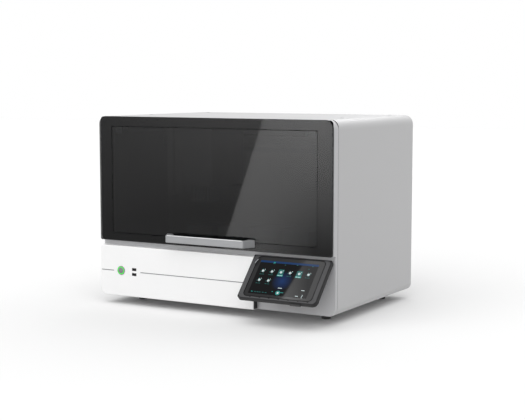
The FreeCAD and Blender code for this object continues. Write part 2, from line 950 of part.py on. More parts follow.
def make_fan_guard():
    wire = s.guard_wire
    level = panel_rear + wire
    rod_level = level + wire * 0.9
    rod = wire * 1.1
    deep = around(level, wire * 2)
    parts = []
    for share in (0.3, 0.55, 0.8, 1.04):
        parts.append(torus("guard_ring", "y", fan_centre, level, s.fan_bore * share, wire))
    across = around(fan_centre[0], s.fan_hole_pitch)
    parts.append(cylinder("guard_upright", "z", (fan_centre[0], rod_level), around(
        fan_centre[1], s.fan_hole_pitch), rod))
    for side in (-1, 1):
        height = fan_centre[1] + s.fan_hole_pitch / 2 * side
        parts.append(cylinder("guard_bar", "x", (rod_level, height), across, rod))
    for centre in fan_hole_places():
        parts.append(cylinder("guard_eye", "y", centre, deep, s.screw_radius * 2))
    holes = []
    head_deep = (deep[1], deep[1] + wire * 2)
    for centre in fan_hole_places():
        holes.append(cylinder("guard_hole", "y", centre, deep, s.screw_radius))
        holes.append(cylinder("head_room", "y", centre, head_deep, s.screw_radius * 2 + s.fit_gap))
    return cut("fan_guard", fuse("guard_solid", *parts), *holes)


def make_case_screws():
    screws = []
    for centre in rear_screw_places():
        screws.append(pan_screw(centre, panel_front, panel_rear))
    for centre in fan_hole_places():
        screws.append(pan_screw(centre, panel_front - s.fan_depth, panel_rear + s.guard_wire * 2))
    return group("case_screw_set", [*screws, *make_foot_screws(), *make_top_caps()])


rocker_axis = (panel_rear - 2, inlet_middle)


def make_power_inlet():
    wall = 2.0
    deep = (panel_front - s.inlet_depth - wall, panel_rear)
    whole_across = (inlet_across[0], rocker_across[1])
    block = box("inlet_block", whole_across, deep, inlet_upward)
    flange_deep = (panel_rear, panel_rear + wall)
    flange = box("inlet_flange", grown(whole_across, wall), flange_deep, grown(inlet_upward, wall))
    socket_across = around(s.inlet_place, 24.0)
    room = (deep[0] + wall, flange_deep[1])
    socket = box("inlet_socket", socket_across, room, around(inlet_middle, 16.0))
    rocker_room = box("rocker_room", grown(rocker_across, -wall), room, grown(inlet_upward, -1.2))
    pieces = [cut("inlet_shell", fuse("inlet_solid", block, flange), socket, rocker_room)]
    for across, upright in ((-7.0, -3.5), (0.0, 3.5), (7.0, -3.5)):
        pin_across = around(s.inlet_place + across, 2.0)
        pin_upward = around(inlet_middle + upright, 4.0)
        pieces.append(box("inlet_pin", pin_across, (deep[0] + 1, panel_rear - 3), pin_upward))
    pieces.append(cylinder("rocker_pin", "x", rocker_axis, grown(rocker_across, -wall / 2), s.rocker_pin))
    return fuse("inlet_module", *pieces)


def make_rocker():
    rocker = new_body("mains_rocker_body")
    across = grown(rocker_across, -2 - s.fit_gap)
    half = s.inlet_block_height / 2 - 2.5
    pad(rocker, "YZ", across, loop(
        (-5, -half + 2), (2, -half), (3.6, -half), (1.6, 0), (3.6, half), (2, half), (-5, half - 2),
    ))
    pocket(rocker, "YZ", across, disc(0, 0, s.rocker_pin + s.running_gap))
    place(rocker, 0, *rocker_axis)
    rocker.Placement.Rotation = FreeCAD.Rotation(FreeCAD.Vector(1, 0, 0), 8)
    return rocker


def make_rear_ports():
    deep = (panel_front - 18, panel_rear + 1)
    blocks = []
    half = s.ports_width / 2
    for index, (width, height) in enumerate(((12.2, 8.0), (9.0, 8.6))):
        across = (ports_across[0] + half * index, ports_across[0] + half * (index + 1))
        block = box("port_block", across, deep, inlet_upward)
        mouth_across = around((across[0] + across[1]) / 2, width)
        mouth = box("port_mouth", mouth_across, (deep[0] + 3, deep[1]), around(inlet_middle, height))
        blocks.append(cut("port", block, mouth))
    return group("data_port_pair", blocks)


def make_power_supply():
    across = (-half_case + 60, -half_case + 275)
    deep = (wall_rear + 55, wall_rear + 170)
    block = box("supply_block", across, deep, (floor_top, floor_top + 50))
    slots = []
    for index in range(12):
        x = across[0] + 20 + index * 15.0
        slots.append(box("supply_slot", (x, x + 6), grown(deep, -20), (floor_top + 48.5, floor_top + 50)))
    room = box("supply_room", grown(across, -1.5), grown(deep, -1.5), (floor_top + 1.5, floor_top + 48.5))
    return cut("supply_case", block, room, *slots)


board_across = (half_case - 340, half_case - 90)
board_deep = (wall_rear + 40, wall_rear + 200)
board_low = floor_top + 16


def board_places():
    for x in grown(board_across, -8):
        for y in grown(board_deep, -8):
            yield (x, y)


def make_main_board():
    sheet_box = box("board_sheet", board_across, board_deep, (board_low, board_low + 1.6))
    high = board_low + 1.6
    chips = []
    for index in range(4):
        x = board_across[0] + 40 + index * 45.0
        chip_deep = (board_deep[0] + 50, board_deep[0] + 74)
        link_deep = (board_deep[1] - 24, board_deep[1] - 14)
        chips.append(box("board_chip", (x, x + 24), chip_deep, (high, high + 3)))
        chips.append(box("board_link", (x, x + 30), link_deep, (high, high + 12)))
        chips.append(cylinder("board_can", "z", (x + 10, board_deep[0] + 24), (high, high + 20), 7))
    return fuse("main_board", sheet_box, *chips)


def make_board_posts():
    span = (floor_top, board_low)
    return [cylinder("board_post", "z", centre, span, s.board_screw_post) for centre in board_places()]


# Chamber

liner_across = (-s.opening_half, s.opening_half)


def make_chamber_liner():
    outer = box(
        "liner_block", grown(liner_across, s.liner_wall), (recess_back, wall_rear),
        (deck_low, ceiling + s.liner_wall),
    )
    inner = box("liner_room", liner_across, (recess_back, wall_face), (deck_low, ceiling))
    shaft_hole = cylinder(
        "liner_shaft_hole", "y", (s.belt_half, base + s.belt_height), (wall_face, wall_rear),
        s.shaft_radius + 1.5,
    )
    return cut("chamber_liner", outer, inner, shaft_hole)


def make_deck():
    plate = new_body("deck_plate_body")
    pad(plate, "XY", (deck_low, deck), rect(liner_across, (recess_back, wall_face)))
    return plate


def make_deck_posts():
    posts = []
    for x in (-s.opening_half + 16, 0, s.opening_half - 16):
        for y in (recess_back + 20, wall_face - 16):
            posts.append(cylinder("deck_post", "z", (x, y), (floor_top, deck_low), s.post_radius))
    return posts


def plate_centre(index):
    return (s.head_place + index * s.plate_pitch, front + s.plate_middle)


def make_heater_block(index):
    x, y = plate_centre(index)
    across = around(x, s.plate_width)
    deep = around(y, s.plate_length)
    block = box(
        "heater_solid", grown(across, s.nest_rim), grown(deep, s.nest_rim), (deck, deck + s.block_height))
    nest = box(
        "heater_nest", grown(across, s.fit_gap), grown(deep, s.fit_gap),
        (deck + s.block_height - s.nest_depth, deck + s.block_height),
    )
    return cut("heater_block", block, nest)


plate_low = deck + s.block_height - s.nest_depth


# Ninety-six square wells, eight across and twelve deep
def well_centres():
    pitch = s.well_pitch.number
    for column in range(8):
        for row in range(12):
            yield ((column - 3.5) * pitch, (row - 5.5) * pitch)


def deep_well_shape():
    width = s.plate_width.number
    length = s.plate_length.number
    height = s.plate_height.number
    skirt = s.plate_skirt.number
    shoulder = 2.5
    base_block = Part.makeBox(width, length, skirt, FreeCAD.Vector(-width / 2, -length / 2, 0))
    upper = Part.makeBox(
        width - 2 * shoulder, length - 2 * shoulder, height - skirt,
        FreeCAD.Vector(-width / 2 + shoulder, -length / 2 + shoulder, skirt),
    )
    well = s.well_width.number
    depth = s.well_depth.number
    wells = []
    for x, y in well_centres():
        corner = FreeCAD.Vector(x - well / 2, y - well / 2, height - depth)
        wells.append(Part.makeBox(well, well, depth, corner))
    return base_block.fuse(upper).cut(Part.makeCompound(wells)).removeSplitter()


def make_deep_well_plate(index, shape):
    plate = doc.addObject("Part::Feature", "deep_well")
    plate.Shape = shape
    x, y = plate_centre(index)
    return place(plate, x, y, plate_low)


def make_lamp():
    centre = (-s.opening_half + 16, base + 462)
    deep = (recess_back + 22, wall_face - s.beam_depth - 22)
    return cylinder("uv_lamp_tube", "y", centre, deep, 8), centre, deep


def make_lamp_holders(centre, deep):
    holders = []
    for low, high in ((deep[0] - 10, deep[0]), (deep[1], deep[1] + 10)):
        across = (-s.opening_half, centre[0] + 9)
        holders.append(box("lamp_holder", across, (low, high), around(centre[1], 20)))
    return group("lamp_holders", holders)


# Cross rail, belt and carriage

beam_upward = (base + s.beam_low, base + s.beam_low + s.beam_height)
beam_deep = (wall_face - s.beam_depth, wall_face)
rail_middle = base + s.beam_low + s.beam_height / 2
belt_middle = base + s.belt_height
belt_deep = (beam_deep[0] + 1.3, beam_deep[0] + 1.3 + s.belt_width)


def make_beam():
    beam = new_body("cross_beam_body")
    slot = s.bezel_wall
    pad(beam, "YZ", (-s.opening_half, s.opening_half), rect(beam_deep, beam_upward))
    for level in (beam_upward[0], beam_upward[1] - slot):
        pocket(
            beam, "YZ", (-s.opening_half, s.opening_half),
            rect(around(wall_face - s.beam_depth / 2, slot), (level, level + slot)),
        )
    return beam


def make_rail():
    return box(
        "cross_rail", (-s.opening_half + 6, s.opening_half - 6),
        (beam_deep[0] - s.rail_depth, beam_deep[0]), around(rail_middle, s.rail_width),
    )


def make_belt():
    belt = new_body("cross_belt_body")
    inner = s.pulley_radius + s.fit_gap
    outer = inner + s.belt_thickness
    across = (-s.belt_half, s.belt_half)
    span = belt_deep
    pad(
        belt, "XZ", span,
        rect(grown(across, outer), around(belt_middle, outer * 2), (outer - 0.01,) * 4),
        rect(grown(across, inner), around(belt_middle, inner * 2), (inner - 0.01,) * 4),
    )
    return belt


def make_pulley(name, x, shaft_end, bore):
    pulley = new_body(name)
    rim = s.pulley_rim
    low = belt_deep[0] - s.fit_gap - rim
    high = belt_deep[1] + s.fit_gap + rim
    points = [
        (s.pulley_flange, low),
        (s.pulley_flange, low + rim),
        (s.pulley_radius, low + rim),
        (s.pulley_radius, high - rim),
        (s.pulley_flange, high - rim),
        (s.pulley_flange, high),
    ]
    if shaft_end is None:
        revolve(pulley, "XY", loop(*points, (bore, high), (bore, low)))
    else:
        shaft = [(s.shaft_radius, high), (s.shaft_radius, shaft_end), (0, shaft_end), (0, low)]
        revolve(pulley, "XY", loop(*points, *shaft))
    return place(pulley, x, 0, belt_middle)


def make_idler_post():
    centre = (-s.belt_half, belt_middle)
    shaft = cylinder("idler_shaft", "y", centre, (belt_deep[0] - 2, wall_face), s.shaft_radius)
    flange = cylinder("idler_flange", "y", centre, (belt_deep[1] + 3, wall_face), s.pulley_radius)
    return fuse("idler_post", shaft, flange)


def make_cross_motor():
    centre = (s.belt_half, belt_middle)
    deep = (wall_rear, wall_rear + s.cross_motor_length)
    block = box("cross_motor_block", around(centre[0], s.motor_width), deep, around(centre[1], s.motor_width))
    bore = cylinder("cross_motor_bore", "y", centre, (deep[0], deep[0] + 14), s.shaft_radius + s.running_gap)
    return cut("cross_motor", block, bore)


head_across = around(s.head_place, s.head_width)
head_inner = grown(head_across, -s.head_wall)
head_plate_deep = (front + s.head_plate_front, front + s.head_plate_rear)
head_middle = front + s.plate_middle


def make_carriage():
    deep = (head_plate_deep[1], beam_deep[0] - 3)
    across = around(s.head_place, s.carriage_length)
    block = box("carriage_solid", across, deep, around(rail_middle, s.carriage_height))
    channel = box(
        "carriage_channel", across,
        (beam_deep[0] - s.rail_depth - s.fit_gap, deep[1]),
        grown(around(rail_middle, s.rail_width), s.fit_gap),
    )
    return cut("cross_carriage", block, channel)


def make_belt_clamp():
    across = (s.head_place + 30, s.head_place + 46)
    run = belt_middle - s.pulley_radius - s.fit_gap
    jaw = box("clamp_jaw", across, (head_plate_deep[1], belt_deep[1] + 3), (beam_upward[1] + 1, run + 3))
    slot = box(
        "clamp_slot", across, (belt_deep[0] - s.fit_gap, belt_deep[1] + s.fit_gap),
        (run - s.belt_thickness - s.fit_gap, run + s.fit_gap),
    )
    return cut("belt_clamp", jaw, slot)


# Head: frame, cover and lifting gear

lift_rail_places = around(s.head_place, s.lift_rail_half * 2)
lift_depth = head_plate_deep[0] - s.lift_rail_set_back
lift_low = base + s.top_block_low - s.lift_length
lift_high = base + s.top_block_low + s.end_block
lift_across = around(s.head_place, s.lift_block_width)
lift_centre = (s.head_place, lift_depth)


def make_head_plate():
    plate = new_body("head_plate_body")
    pad(plate, "XZ", head_plate_deep, rect(head_inner, (lift_low, lift_high)))
    return plate


def make_lift_block(name, low, high, bore):
    deep = (head_plate_deep[0] - s.lift_block_depth, head_plate_deep[0])
    block = box(name + "_solid", lift_across, deep, (low, high))
    holes = [cylinder(name, "z", (x, lift_depth), (low, high), s.lift_rail) for x in lift_rail_places]
    screw = cylinder(name, "z", lift_centre, (low, high), bore)
    return cut(name, block, screw, *holes)


def make_lift_rails():
    rails = []
    for x in lift_rail_places:
        rails.append(cylinder("lift_rail", "z", (x, lift_depth), (lift_low, lift_high), s.lift_rail))
    return rails


def make_lift_motor():
    return box(
        "lift_motor", around(s.head_place, s.motor_width), around(lift_depth, s.motor_width),
        (lift_high + s.fit_gap, lift_high + s.lift_motor_height),
    )


def make_head_cover():
    deep = (front + s.head_front, head_plate_deep[1])
    upward = (base + s.head_bottom, base + s.head_top)
    cover = new_body("head_cover_body")
    pad(cover, "XY", upward, rect(head_across, deep, (s.bezel_wall, s.bezel_wall, 0, 0)))
    wall = s.head_wall
    inner_radius = s.bezel_wall - wall
    pocket(
        cover, "XY", (upward[0], upward[1] - wall),
        rect(head_inner, (deep[0] + wall, deep[1]), (inner_radius, inner_radius, 0, 0)),
    )
    return cover


def make_head_duct():
    side = head_across[0]
    duct_front = front + s.head_front - s.duct_proud
    deep = (duct_front, duct_front + s.duct_width)
    upward = (base + s.duct_bottom, base + s.head_top)
    post = box("duct_post", (side - s.duct_offset - s.duct_width, side - s.duct_offset), deep, upward)
    wing_front = deep[0] + s.wing_set_back
    wing_deep = (wing_front, wing_front + s.wing_wall)
    wing = box("duct_wing", (side - s.duct_offset, side), wing_deep, (upward[0] + s.wing_rise, upward[1]))
    bosses = []
    for drop in (s.duct_boss_drop, s.duct_boss_low_drop):
        centre = (side - s.duct_offset / 2, upward[1] - drop)
        bosses.append(cylinder("duct_boss", "y", centre, (wing_front - 2, wing_front), s.duct_boss))
    return fuse("duct_solid", post, wing, *bosses)


# Lifting stage: back plate, sliding block, motor bracket and comb holder

comb_top = base + s.sleeve_tip + s.sleeve_length + s.comb_flange
holder_upward = (comb_top, comb_top + s.holder_height)
stage_rear = head_middle + s.stage_half
lift_block_upward = (base + s.lift_block_top - s.lift_block_height, base + s.lift_block_top)
rod_plate_low = comb_top + s.rod_length
bracket_low = rod_plate_low + s.rod_plate_height + s.bracket_rise
bracket_high = bracket_low + s.end_block
rod_rail_places = around(head_middle, s.rod_rail_half * 2)


def make_comb_holder():
    across = grown(head_inner, -1)
    deep = around(head_middle, s.stage_half * 2)
    ring = new_body("comb_holder_ring")
    window = rect(around(s.head_place, s.holder_window), around(head_middle, s.holder_window_length))
    pad(ring, "XY", holder_upward, rect(across, deep), window)
    lips = []
    lip_deep = around(head_middle, s.holder_length)
    low = comb_top - s.comb_flange - s.holder_drop
    wall_inner = s.holder_half - s.holder_wall
    for side in (-1, 1):
        wall_span = beside(s.head_place, side, wall_inner, s.holder_half)
        lip_span = beside(s.head_place, side, wall_inner - s.holder_lip, s.holder_half)
        lips.append(box("holder_wall", wall_span, lip_deep, (low, comb_top)))
        lips.append(box("holder_lip", lip_span, lip_deep, (low, comb_top - s.comb_flange)))
    return fuse("comb_holder", ring, *lips)


def make_stage_plate():
    upward = (holder_upward[0], lift_block_upward[1])
    sheet_deep = (stage_rear, stage_rear + s.stage_wall)
    plate = box("stage_sheet", around(s.head_place, s.stage_width), sheet_deep, upward)
    slide = box("stage_slide", lift_across, (sheet_deep[1], head_plate_deep[0] - 1), lift_block_upward)
    holes = []
    rail_bore = s.lift_rail + s.running_gap
    for x in lift_rail_places:
        holes.append(cylinder("stage_bore", "z", (x, lift_depth), lift_block_upward, rail_bore))
    holes.append(cylinder("stage_nut", "z", lift_centre, lift_block_upward, s.lift_screw + s.running_gap))
    return cut("lift_stage", fuse("stage_solid", plate, slide), *holes)


def make_rod_bracket():
    upward = (bracket_low, bracket_high)
    deep = (head_middle - s.bracket_front, stage_rear)
    plate = box("bracket_plate", around(s.head_place, s.bracket_width), deep, upward)
    hole = cylinder("bracket_hole", "z", (s.head_place, head_middle), upward, s.rod_screw + 0.5)
    return cut("rod_bracket", plate, hole)


def make_rod_motor():
    return box(
        "rod_motor", around(s.head_place, s.rod_motor_width), around(head_middle, s.rod_motor_width),
        (bracket_high, bracket_high + s.rod_motor_width),
    )


def make_rod_rails():
    upward = (holder_upward[1], bracket_low)
    return [cylinder("rod_rail", "z", (s.head_place, y), upward, s.rod_rail) for y in rod_rail_places]


# Comb of ninety-six closed sleeves under one flange
def make_tip_comb():
    low = base.number + s.sleeve_tip.number
    flange_low = low + s.sleeve_length.number
    flange_high = comb_top.number
    width = s.comb_width.number
    length = s.comb_length.number
    corner = FreeCAD.Vector(-width / 2, -length / 2, flange_low)
    flange = Part.makeBox(width, length, flange_high - flange_low, corner)
    sleeves = []
    bores = []
    for x, y in well_centres():
        sleeves.append(Part.makeCylinder(s.sleeve_radius.number, flange_low - low, FreeCAD.Vector(x, y, low)))
        bore_low = FreeCAD.Vector(x, y, low + s.comb_floor.number)
        bores.append(Part.makeCylinder(s.sleeve_bore.number, flange_high - bore_low.z, bore_low))
    comb = doc.addObject("Part::Feature", "tip_comb_shape")
    comb.Shape = flange.fuse(Part.makeCompound(sleeves)).cut(Part.makeCompound(bores))
    return place(comb, s.head_place, head_middle, 0)


def make_magnet_rods():
    low = comb_top.number
    rods = []
    for x, y in well_centres():
        rods.append(Part.makeCylinder(s.rod_radius.number, s.rod_length.number, FreeCAD.Vector(x, y, low)))
    magnets = doc.addObject("Part::Feature", "magnet_rod_set")
    magnets.Shape = Part.makeCompound(rods)
    return place(magnets, s.head_place, head_middle, 0)


def make_rod_plate():
    upward = (rod_plate_low, rod_plate_low + s.rod_plate_height)
    centre = (s.head_place, head_middle)
    deep = around(head_middle, s.rod_plate_length)
    plate = box("rod_sheet", around(s.head_place, s.rod_plate_width), deep, upward)
    nut_upward = (upward[1], upward[1] + s.rod_nut_height)
    nut = cylinder("rod_nut", "z", centre, nut_upward, s.rod_nut)
    guide = s.rod_rail + s.running_gap
    holes = [cylinder("rod_guide", "z", (s.head_place, y), upward, guide) for y in rod_rail_places]
    bore = cylinder("rod_bore", "z", centre, (upward[0], nut_upward[1]), s.rod_screw + s.running_gap)
    return cut("rod_plate", fuse("rod_plate_solid", plate, nut), bore, *holes)


def make_lift_screw():
    return cylinder("lift_screw_shaft", "z", lift_centre, (lift_low + s.fit_gap, lift_high), s.lift_screw)


def make_rod_screw():
    upward = (holder_upward[1] + s.fit_gap, bracket_high - s.fit_gap)
    return cylinder("rod_screw_shaft", "z", (s.head_place, head_middle), upward, s.rod_screw)


# Door

door_across = grown(case_across, -s.door_side_gap)
door_upward = (base + s.door_bottom, top)
hinge_height = top - s.hinge_drop
hinge_depth = front + s.hinge_set_back
hinge_centre = (hinge_depth, hinge_height)
handle_screw_height = base + s.handle_bottom + s.handle_screw_rise
handle_gap_half = s.handle_length / 2 - s.handle_bar / 2
handle_screw_place = handle_gap_half + s.handle_bar


def handle_screw_discs(radius):
    return [disc(side * handle_screw_place, handle_screw_height, radius) for side in (-1, 1)]


def window_outline(inset):
    across = (-s.window_half + inset, s.window_half - inset)
    upward = (base + s.window_bottom + inset, base + s.window_top - inset)
    return rect(across, upward, (s.window_corner - inset,) * 4)


def make_door_glass():
    glass = new_body("door_glass_body")
    corners = (s.door_base_corner, s.door_base_corner, s.door_top_corner, s.door_top_corner)
    deep = (front, front + s.glass_thickness)
    pad(glass, "XZ", deep, rect(door_across, door_upward, corners))
    soften(glass, s.door_gap * 2, lambda edge: near(edge.YMin, front) and near(edge.YMax, front))
    line = s.window_line_width
    pocket(
        glass, "XZ", (front, front + s.window_line_depth), window_outline(0), window_outline(line),
    )
    pocket(glass, "XZ", deep, *handle_screw_discs(s.handle_screw + s.running_gap))
    return glass


def make_door_frame():
    frame = new_body("door_frame_body")
    holes = handle_screw_discs(s.handle_screw + s.running_gap)
    rim_across = (-s.window_half - s.frame_rim, s.window_half + s.frame_rim)
    rim_upward = (base + s.window_bottom - s.frame_drop, hinge_height - s.hinge_knuckle * 2)
    corner = s.window_corner
    deep = (front + s.glass_thickness, door_rear)
    rim = rect(rim_across, rim_upward, (corner, corner, corner * 2, corner * 2))
    pad(frame, "XZ", deep, rim, window_outline(0), *holes)
    return frame


def make_handle():
    handle = new_body("door_handle_body")
    deep = (front - s.handle_reach, front)
    upward = (base + s.handle_bottom, base + s.handle_bottom + s.handle_height)
    half = s.handle_length / 2
    foot = half + s.handle_flare
    pad(handle, "XY", upward, loop((-half, deep[0]), (half, deep[0]), (foot, front), (-foot, front)))
    soften(handle, s.handle_corner, lambda edge: edge.ZLength > 1 and near(edge.YMin, deep[0]))
    pocket(
        handle, "XY", upward,
        rect((-handle_gap_half, handle_gap_half), (deep[0] + s.handle_bar, front + 1)),
    )
    soften(handle, s.soft_edge, lambda edge: edge.ZLength < 0.01 and not near(edge.YMin, front))
    pocket(handle, "XZ", (front - s.handle_screw_hold - 2, front), *handle_screw_discs(s.handle_screw))
    return handle


def make_handle_screws():
    screws = []
    for side in (-1, 1):
        centre = (side * handle_screw_place, handle_screw_height)
        span = (front - s.handle_screw_hold, door_rear)
        shank = cylinder("handle_shank", "y", centre, span, s.handle_screw)
        head = cylinder("handle_head", "y", centre, (door_rear, door_rear + 3), s.handle_screw * 1.6)
        screws.append(fuse("handle_screw", shank, head))
    return screws


def hinge_spans(side):
    middle = side * s.hinge_place
    inner = s.hinge_width * s.hinge_arm_share / 2
    outer = s.hinge_width / 2
    return middle, inner, outer


def make_fixed_leaves():
    leaves = []
    for side in (-1, 1):
        middle, inner, outer = hinge_spans(side)
        plate_deep = (hinge_depth, bezel_rear - 2)
        under_top = top - s.bezel_wall
        across = around(middle, outer * 2)
        plate = box("leaf_plate", across, plate_deep, (under_top - s.hinge_leaf, under_top))
        knuckle = cylinder("leaf_knuckle", "x", hinge_centre, across, s.hinge_knuckle)
        gap = around(middle, (inner + s.fit_gap) * 2)
        reach = s.hinge_knuckle + s.hinge_leaf
        room = box("leaf_room", gap, around(hinge_depth, reach * 2), around(hinge_height, reach * 2))
        bore = cylinder("leaf_bore", "x", hinge_centre, across, s.hinge_pin)
        leaves.append(cut("fixed_leaf", fuse("leaf_solid", plate, knuckle), room, bore))
        leaves.append(cylinder("hinge_pin", "x", hinge_centre, across, s.hinge_pin))
    return group("fixed_leaf_pair", leaves)


def make_door_leaves():
    leaves = []
    for side in (-1, 1):
        middle, inner, outer = hinge_spans(side)
        across = around(middle, inner * 2)
        wide = around(middle, s.hinge_width * s.hinge_strap_share)
        low = base + s.window_top - s.hinge_strap_drop
        high = low + s.hinge_strap_height
        deep = (door_rear, door_rear + s.hinge_leaf)
        pad_deep = (front + s.glass_thickness, door_rear)
        knuckle = cylinder("door_knuckle", "x", hinge_centre, across, s.hinge_knuckle)
        arm = box("door_arm", across, deep, (high, hinge_height))
        strap = box("door_strap", wide, deep, (low, high))
        pad_box = box("door_strap_pad", wide, pad_deep, (low, base + s.window_top - 2))
        bore = cylinder("door_bore", "x", hinge_centre, across, s.hinge_pin + s.running_gap)
        leaves.append(cut("door_leaf", fuse("door_leaf_solid", knuckle, arm, strap, pad_box), bore))
    return group("door_leaf_pair", leaves)


def make_hinge_screws():
    screws = []
    for side in (-1, 1):
        for offset in (s.hinge_screw_pitch / -2, s.hinge_screw_pitch / 2):
            centre = (side * s.hinge_place + offset, base + s.window_top - 10)
            level = door_rear + s.hinge_leaf
            screws.append(cylinder("hinge_screw", "y", centre, (level, level + 1.5), 2.8))
    return screws


# Screen: drawn upright about its tilt axis, then turned and placed

screen_axis = (front + s.screen_axis_set_back, base + s.screen_axis_height)
screen_across = (s.screen_left, s.screen_right)
screen_upward = (-screen_low, s.screen_axis_drop)
screen_deep = (-screen_front, -s.screen_knuckle)
touch_across = around(screen_middle, s.touch_width)
touch_middle = (screen_upward[0] + screen_upward[1]) / 2 + s.touch_rise
touch_upward = around(touch_middle, s.touch_height)


def tilt(thing):
    place(thing, 0, screen_axis[0], screen_axis[1])
    thing.Placement.Rotation = FreeCAD.Rotation(FreeCAD.Vector(1, 0, 0), -s.screen_tilt.number)
    return thing


def make_screen_bumper():
    bumper = new_body("screen_bumper_body")
    corners = (s.screen_base_corner, s.screen_far_corner, s.screen_top_corner, s.screen_top_corner)
    pad(bumper, "XZ", screen_deep, rect(screen_across, screen_upward, corners))
    for level, radius in zip(screen_deep, (s.screen_edge, s.screen_back_edge)):
        soften(bumper, radius, lambda edge: near(edge.YMin, level) and near(edge.YMax, level))
    pocket(bumper, "XZ", screen_deep, touch_outline())
    return tilt(bumper)


touch_front = screen_deep[0] + s.touch_set_back
touch_deep = (touch_front, touch_front + s.touch_thickness)
display_deep = (touch_deep[1], touch_deep[1] + s.display_thickness)


def touch_outline():
    return rect(touch_across, touch_upward, (s.touch_corner,) * 4)


def make_screen_glass():
    glass = new_body("screen_glass_body")
    pad(glass, "XZ", touch_deep, touch_outline())
    return tilt(glass)


def make_screen_display():
    display = new_body("screen_display_body")
    pad(display, "XZ", display_deep, rect(
        around(screen_middle - s.display_shift, s.display_width),
        around(touch_middle - s.display_drop, s.display_height),
    ))
    return tilt(display)


def make_screen_shell():
    shell = new_body("screen_shell_body")
    pad(shell, "XZ", (display_deep[1], screen_deep[1]), touch_outline())
    low = screen_upward[0]
    lug_left = s.screen_right - s.lug_from_right
    lug_front = screen_deep[0] + s.lug_set_back
    lug_deep = (lug_front, lug_front + s.lug_thickness)
    lug = box("screen_lug", (lug_left, lug_left + s.lug_width), lug_deep, (low - s.lug_drop, low))
    parts = [shell, lug]
    ear_deep = (-s.screen_knuckle, s.screen_ear_wall - s.screen_knuckle)
    for side in (-1, 1):
        ear_across = beside(screen_middle, side, s.screen_ear_half, s.screen_ear_reach)
        knuckle_across = beside(screen_middle, side, s.screen_ear_half, s.screen_ear_knuckle)
        plate = box("ear_plate", ear_across, ear_deep, (-s.screen_ear_reach, s.screen_pin))
        knuckle = cylinder("ear_knuckle", "x", (0, 0), knuckle_across, s.screen_knuckle)
        bore = cylinder("ear_bore", "x", (0, 0), ear_across, s.screen_pin + s.running_gap)
        parts.append(cut("screen_ear", fuse("ear_solid", plate, knuckle), bore))
    return tilt(group("screen_shell_set", parts))


def make_screen_bracket():
    y, z = screen_axis
    wall_deep = (y + s.screen_knuckle + s.fit_gap, recess_face)
    across = around(screen_middle, s.screen_ear_knuckle)
    wall_across = around(screen_middle, s.screen_ear_reach * 2)
    plate = box("bracket_wall", wall_across, wall_deep, (z - s.bracket_plate_drop, z + s.screen_pin))
    ear = box("bracket_ear", across, (y, recess_face - 1), (z - s.screen_knuckle, z + s.screen_pin))
    knuckle = cylinder("bracket_knuckle", "x", (y, z), across, s.screen_knuckle)
    bore = cylinder("bracket_bore", "x", (y, z), across, s.screen_pin)
    bracket = cut("bracket_bored", fuse("bracket_solid", plate, ear, knuckle), bore)
    pin = cylinder("bracket_pin", "x", (y, z), around(screen_middle, s.screen_ear_knuckle * 2), s.screen_pin)
    return group("screen_bracket_set", [bracket, pin])


# Assembly: every sub-part under the name that its file gets

cover = make_outer_cover()
cut_floor(cover, (base, base + s.cover_wall))
well_shape = deep_well_shape()
lamp, lamp_centre, lamp_deep = make_lamp()
lift_blocks = [
    make_lift_block("lift_foot", lift_low, lift_low + s.end_block, s.lift_screw + s.running_gap),
    make_lift_block("lift_head", base + s.top_block_low, lift_high, s.lift_screw + 1),
]

keep("outer_cover", cover)
keep("front_bezel", make_front_bezel())
keep("door_seal_strips", make_seals())
keep("lower_front_panel", make_lower_panel())
keep("usb_sockets", make_front_sockets())
keep("power_button_body", make_button_body())
keep("power_button_light", make_button_ring())
keep("power_button_cap", make_button_cap())
keep("base_plate", make_base_plate())
keep("inner_posts", group("inner_post_set", [*make_deck_posts(), *make_board_posts()]))
keep("feet", make_feet())
keep("case_screws", make_case_screws())
keep("rear_panel", make_rear_panel())
keep("fan_frame", make_fan_frame())
keep("fan_rotor", make_fan_rotor())
keep("fan_guard", make_fan_guard())
keep("power_inlet", make_power_inlet())
keep("mains_rocker", make_rocker())
keep("data_ports", make_rear_ports())
keep("power_supply", make_power_supply())
keep("main_board", make_main_board())
keep("chamber_liner", make_chamber_liner())
keep("deck_plate", make_deck())
keep("heater_blocks", group("heater_set", [make_heater_block(index) for index in range(4)]))
for number in range(1, 5):
    keep("deep_well_plate_%d" % number, make_deep_well_plate(number - 1, well_shape))
keep("uv_lamp", lamp)
keep("lamp_holders", make_lamp_holders(lamp_centre, lamp_deep))
keep("cross_beam", group("cross_beam_set", [make_beam(), make_idler_post()]))
keep("cross_rail", make_rail())
keep("cross_belt", make_belt())
keep("cross_motor", make_cross_motor())
keep("drive_pulley", make_pulley("drive_pulley_body", s.belt_half, wall_rear + 12, 0))
keep("idler_pulley", make_pulley("idler_pulley_body", -s.belt_half, None, s.shaft_radius + s.running_gap))
keep("cross_carriage", group("cross_carriage_set", [make_carriage(), make_belt_clamp()]))
keep("head_frame", group("head_frame_set", [make_head_plate(), *lift_blocks, *make_lift_rails()]))
keep("head_cover", make_head_cover())
keep("head_duct", make_head_duct())
keep("lift_motor", make_lift_motor())
keep("lift_screw", make_lift_screw())
keep("lift_stage", group("lift_stage_set", [make_stage_plate(), make_rod_bracket(), *make_rod_rails()]))
keep("comb_holder", make_comb_holder())
keep("tip_comb", make_tip_comb())
keep("rod_motor", make_rod_motor())
keep("rod_screw", make_rod_screw())
keep("rod_plate", make_rod_plate())
keep("magnet_rods", make_magnet_rods())
keep("door_glass", make_door_glass())
keep("door_frame", make_door_frame())
keep("door_handle", make_handle())
keep("door_screws", group("door_screw_set", [*make_handle_screws(), *make_hinge_screws()]))
keep("hinge_body_leaves", make_fixed_leaves())
keep("hinge_door_leaves", make_door_leaves())
keep("screen_bumper", make_screen_bumper())
keep("screen_glass", make_screen_glass())
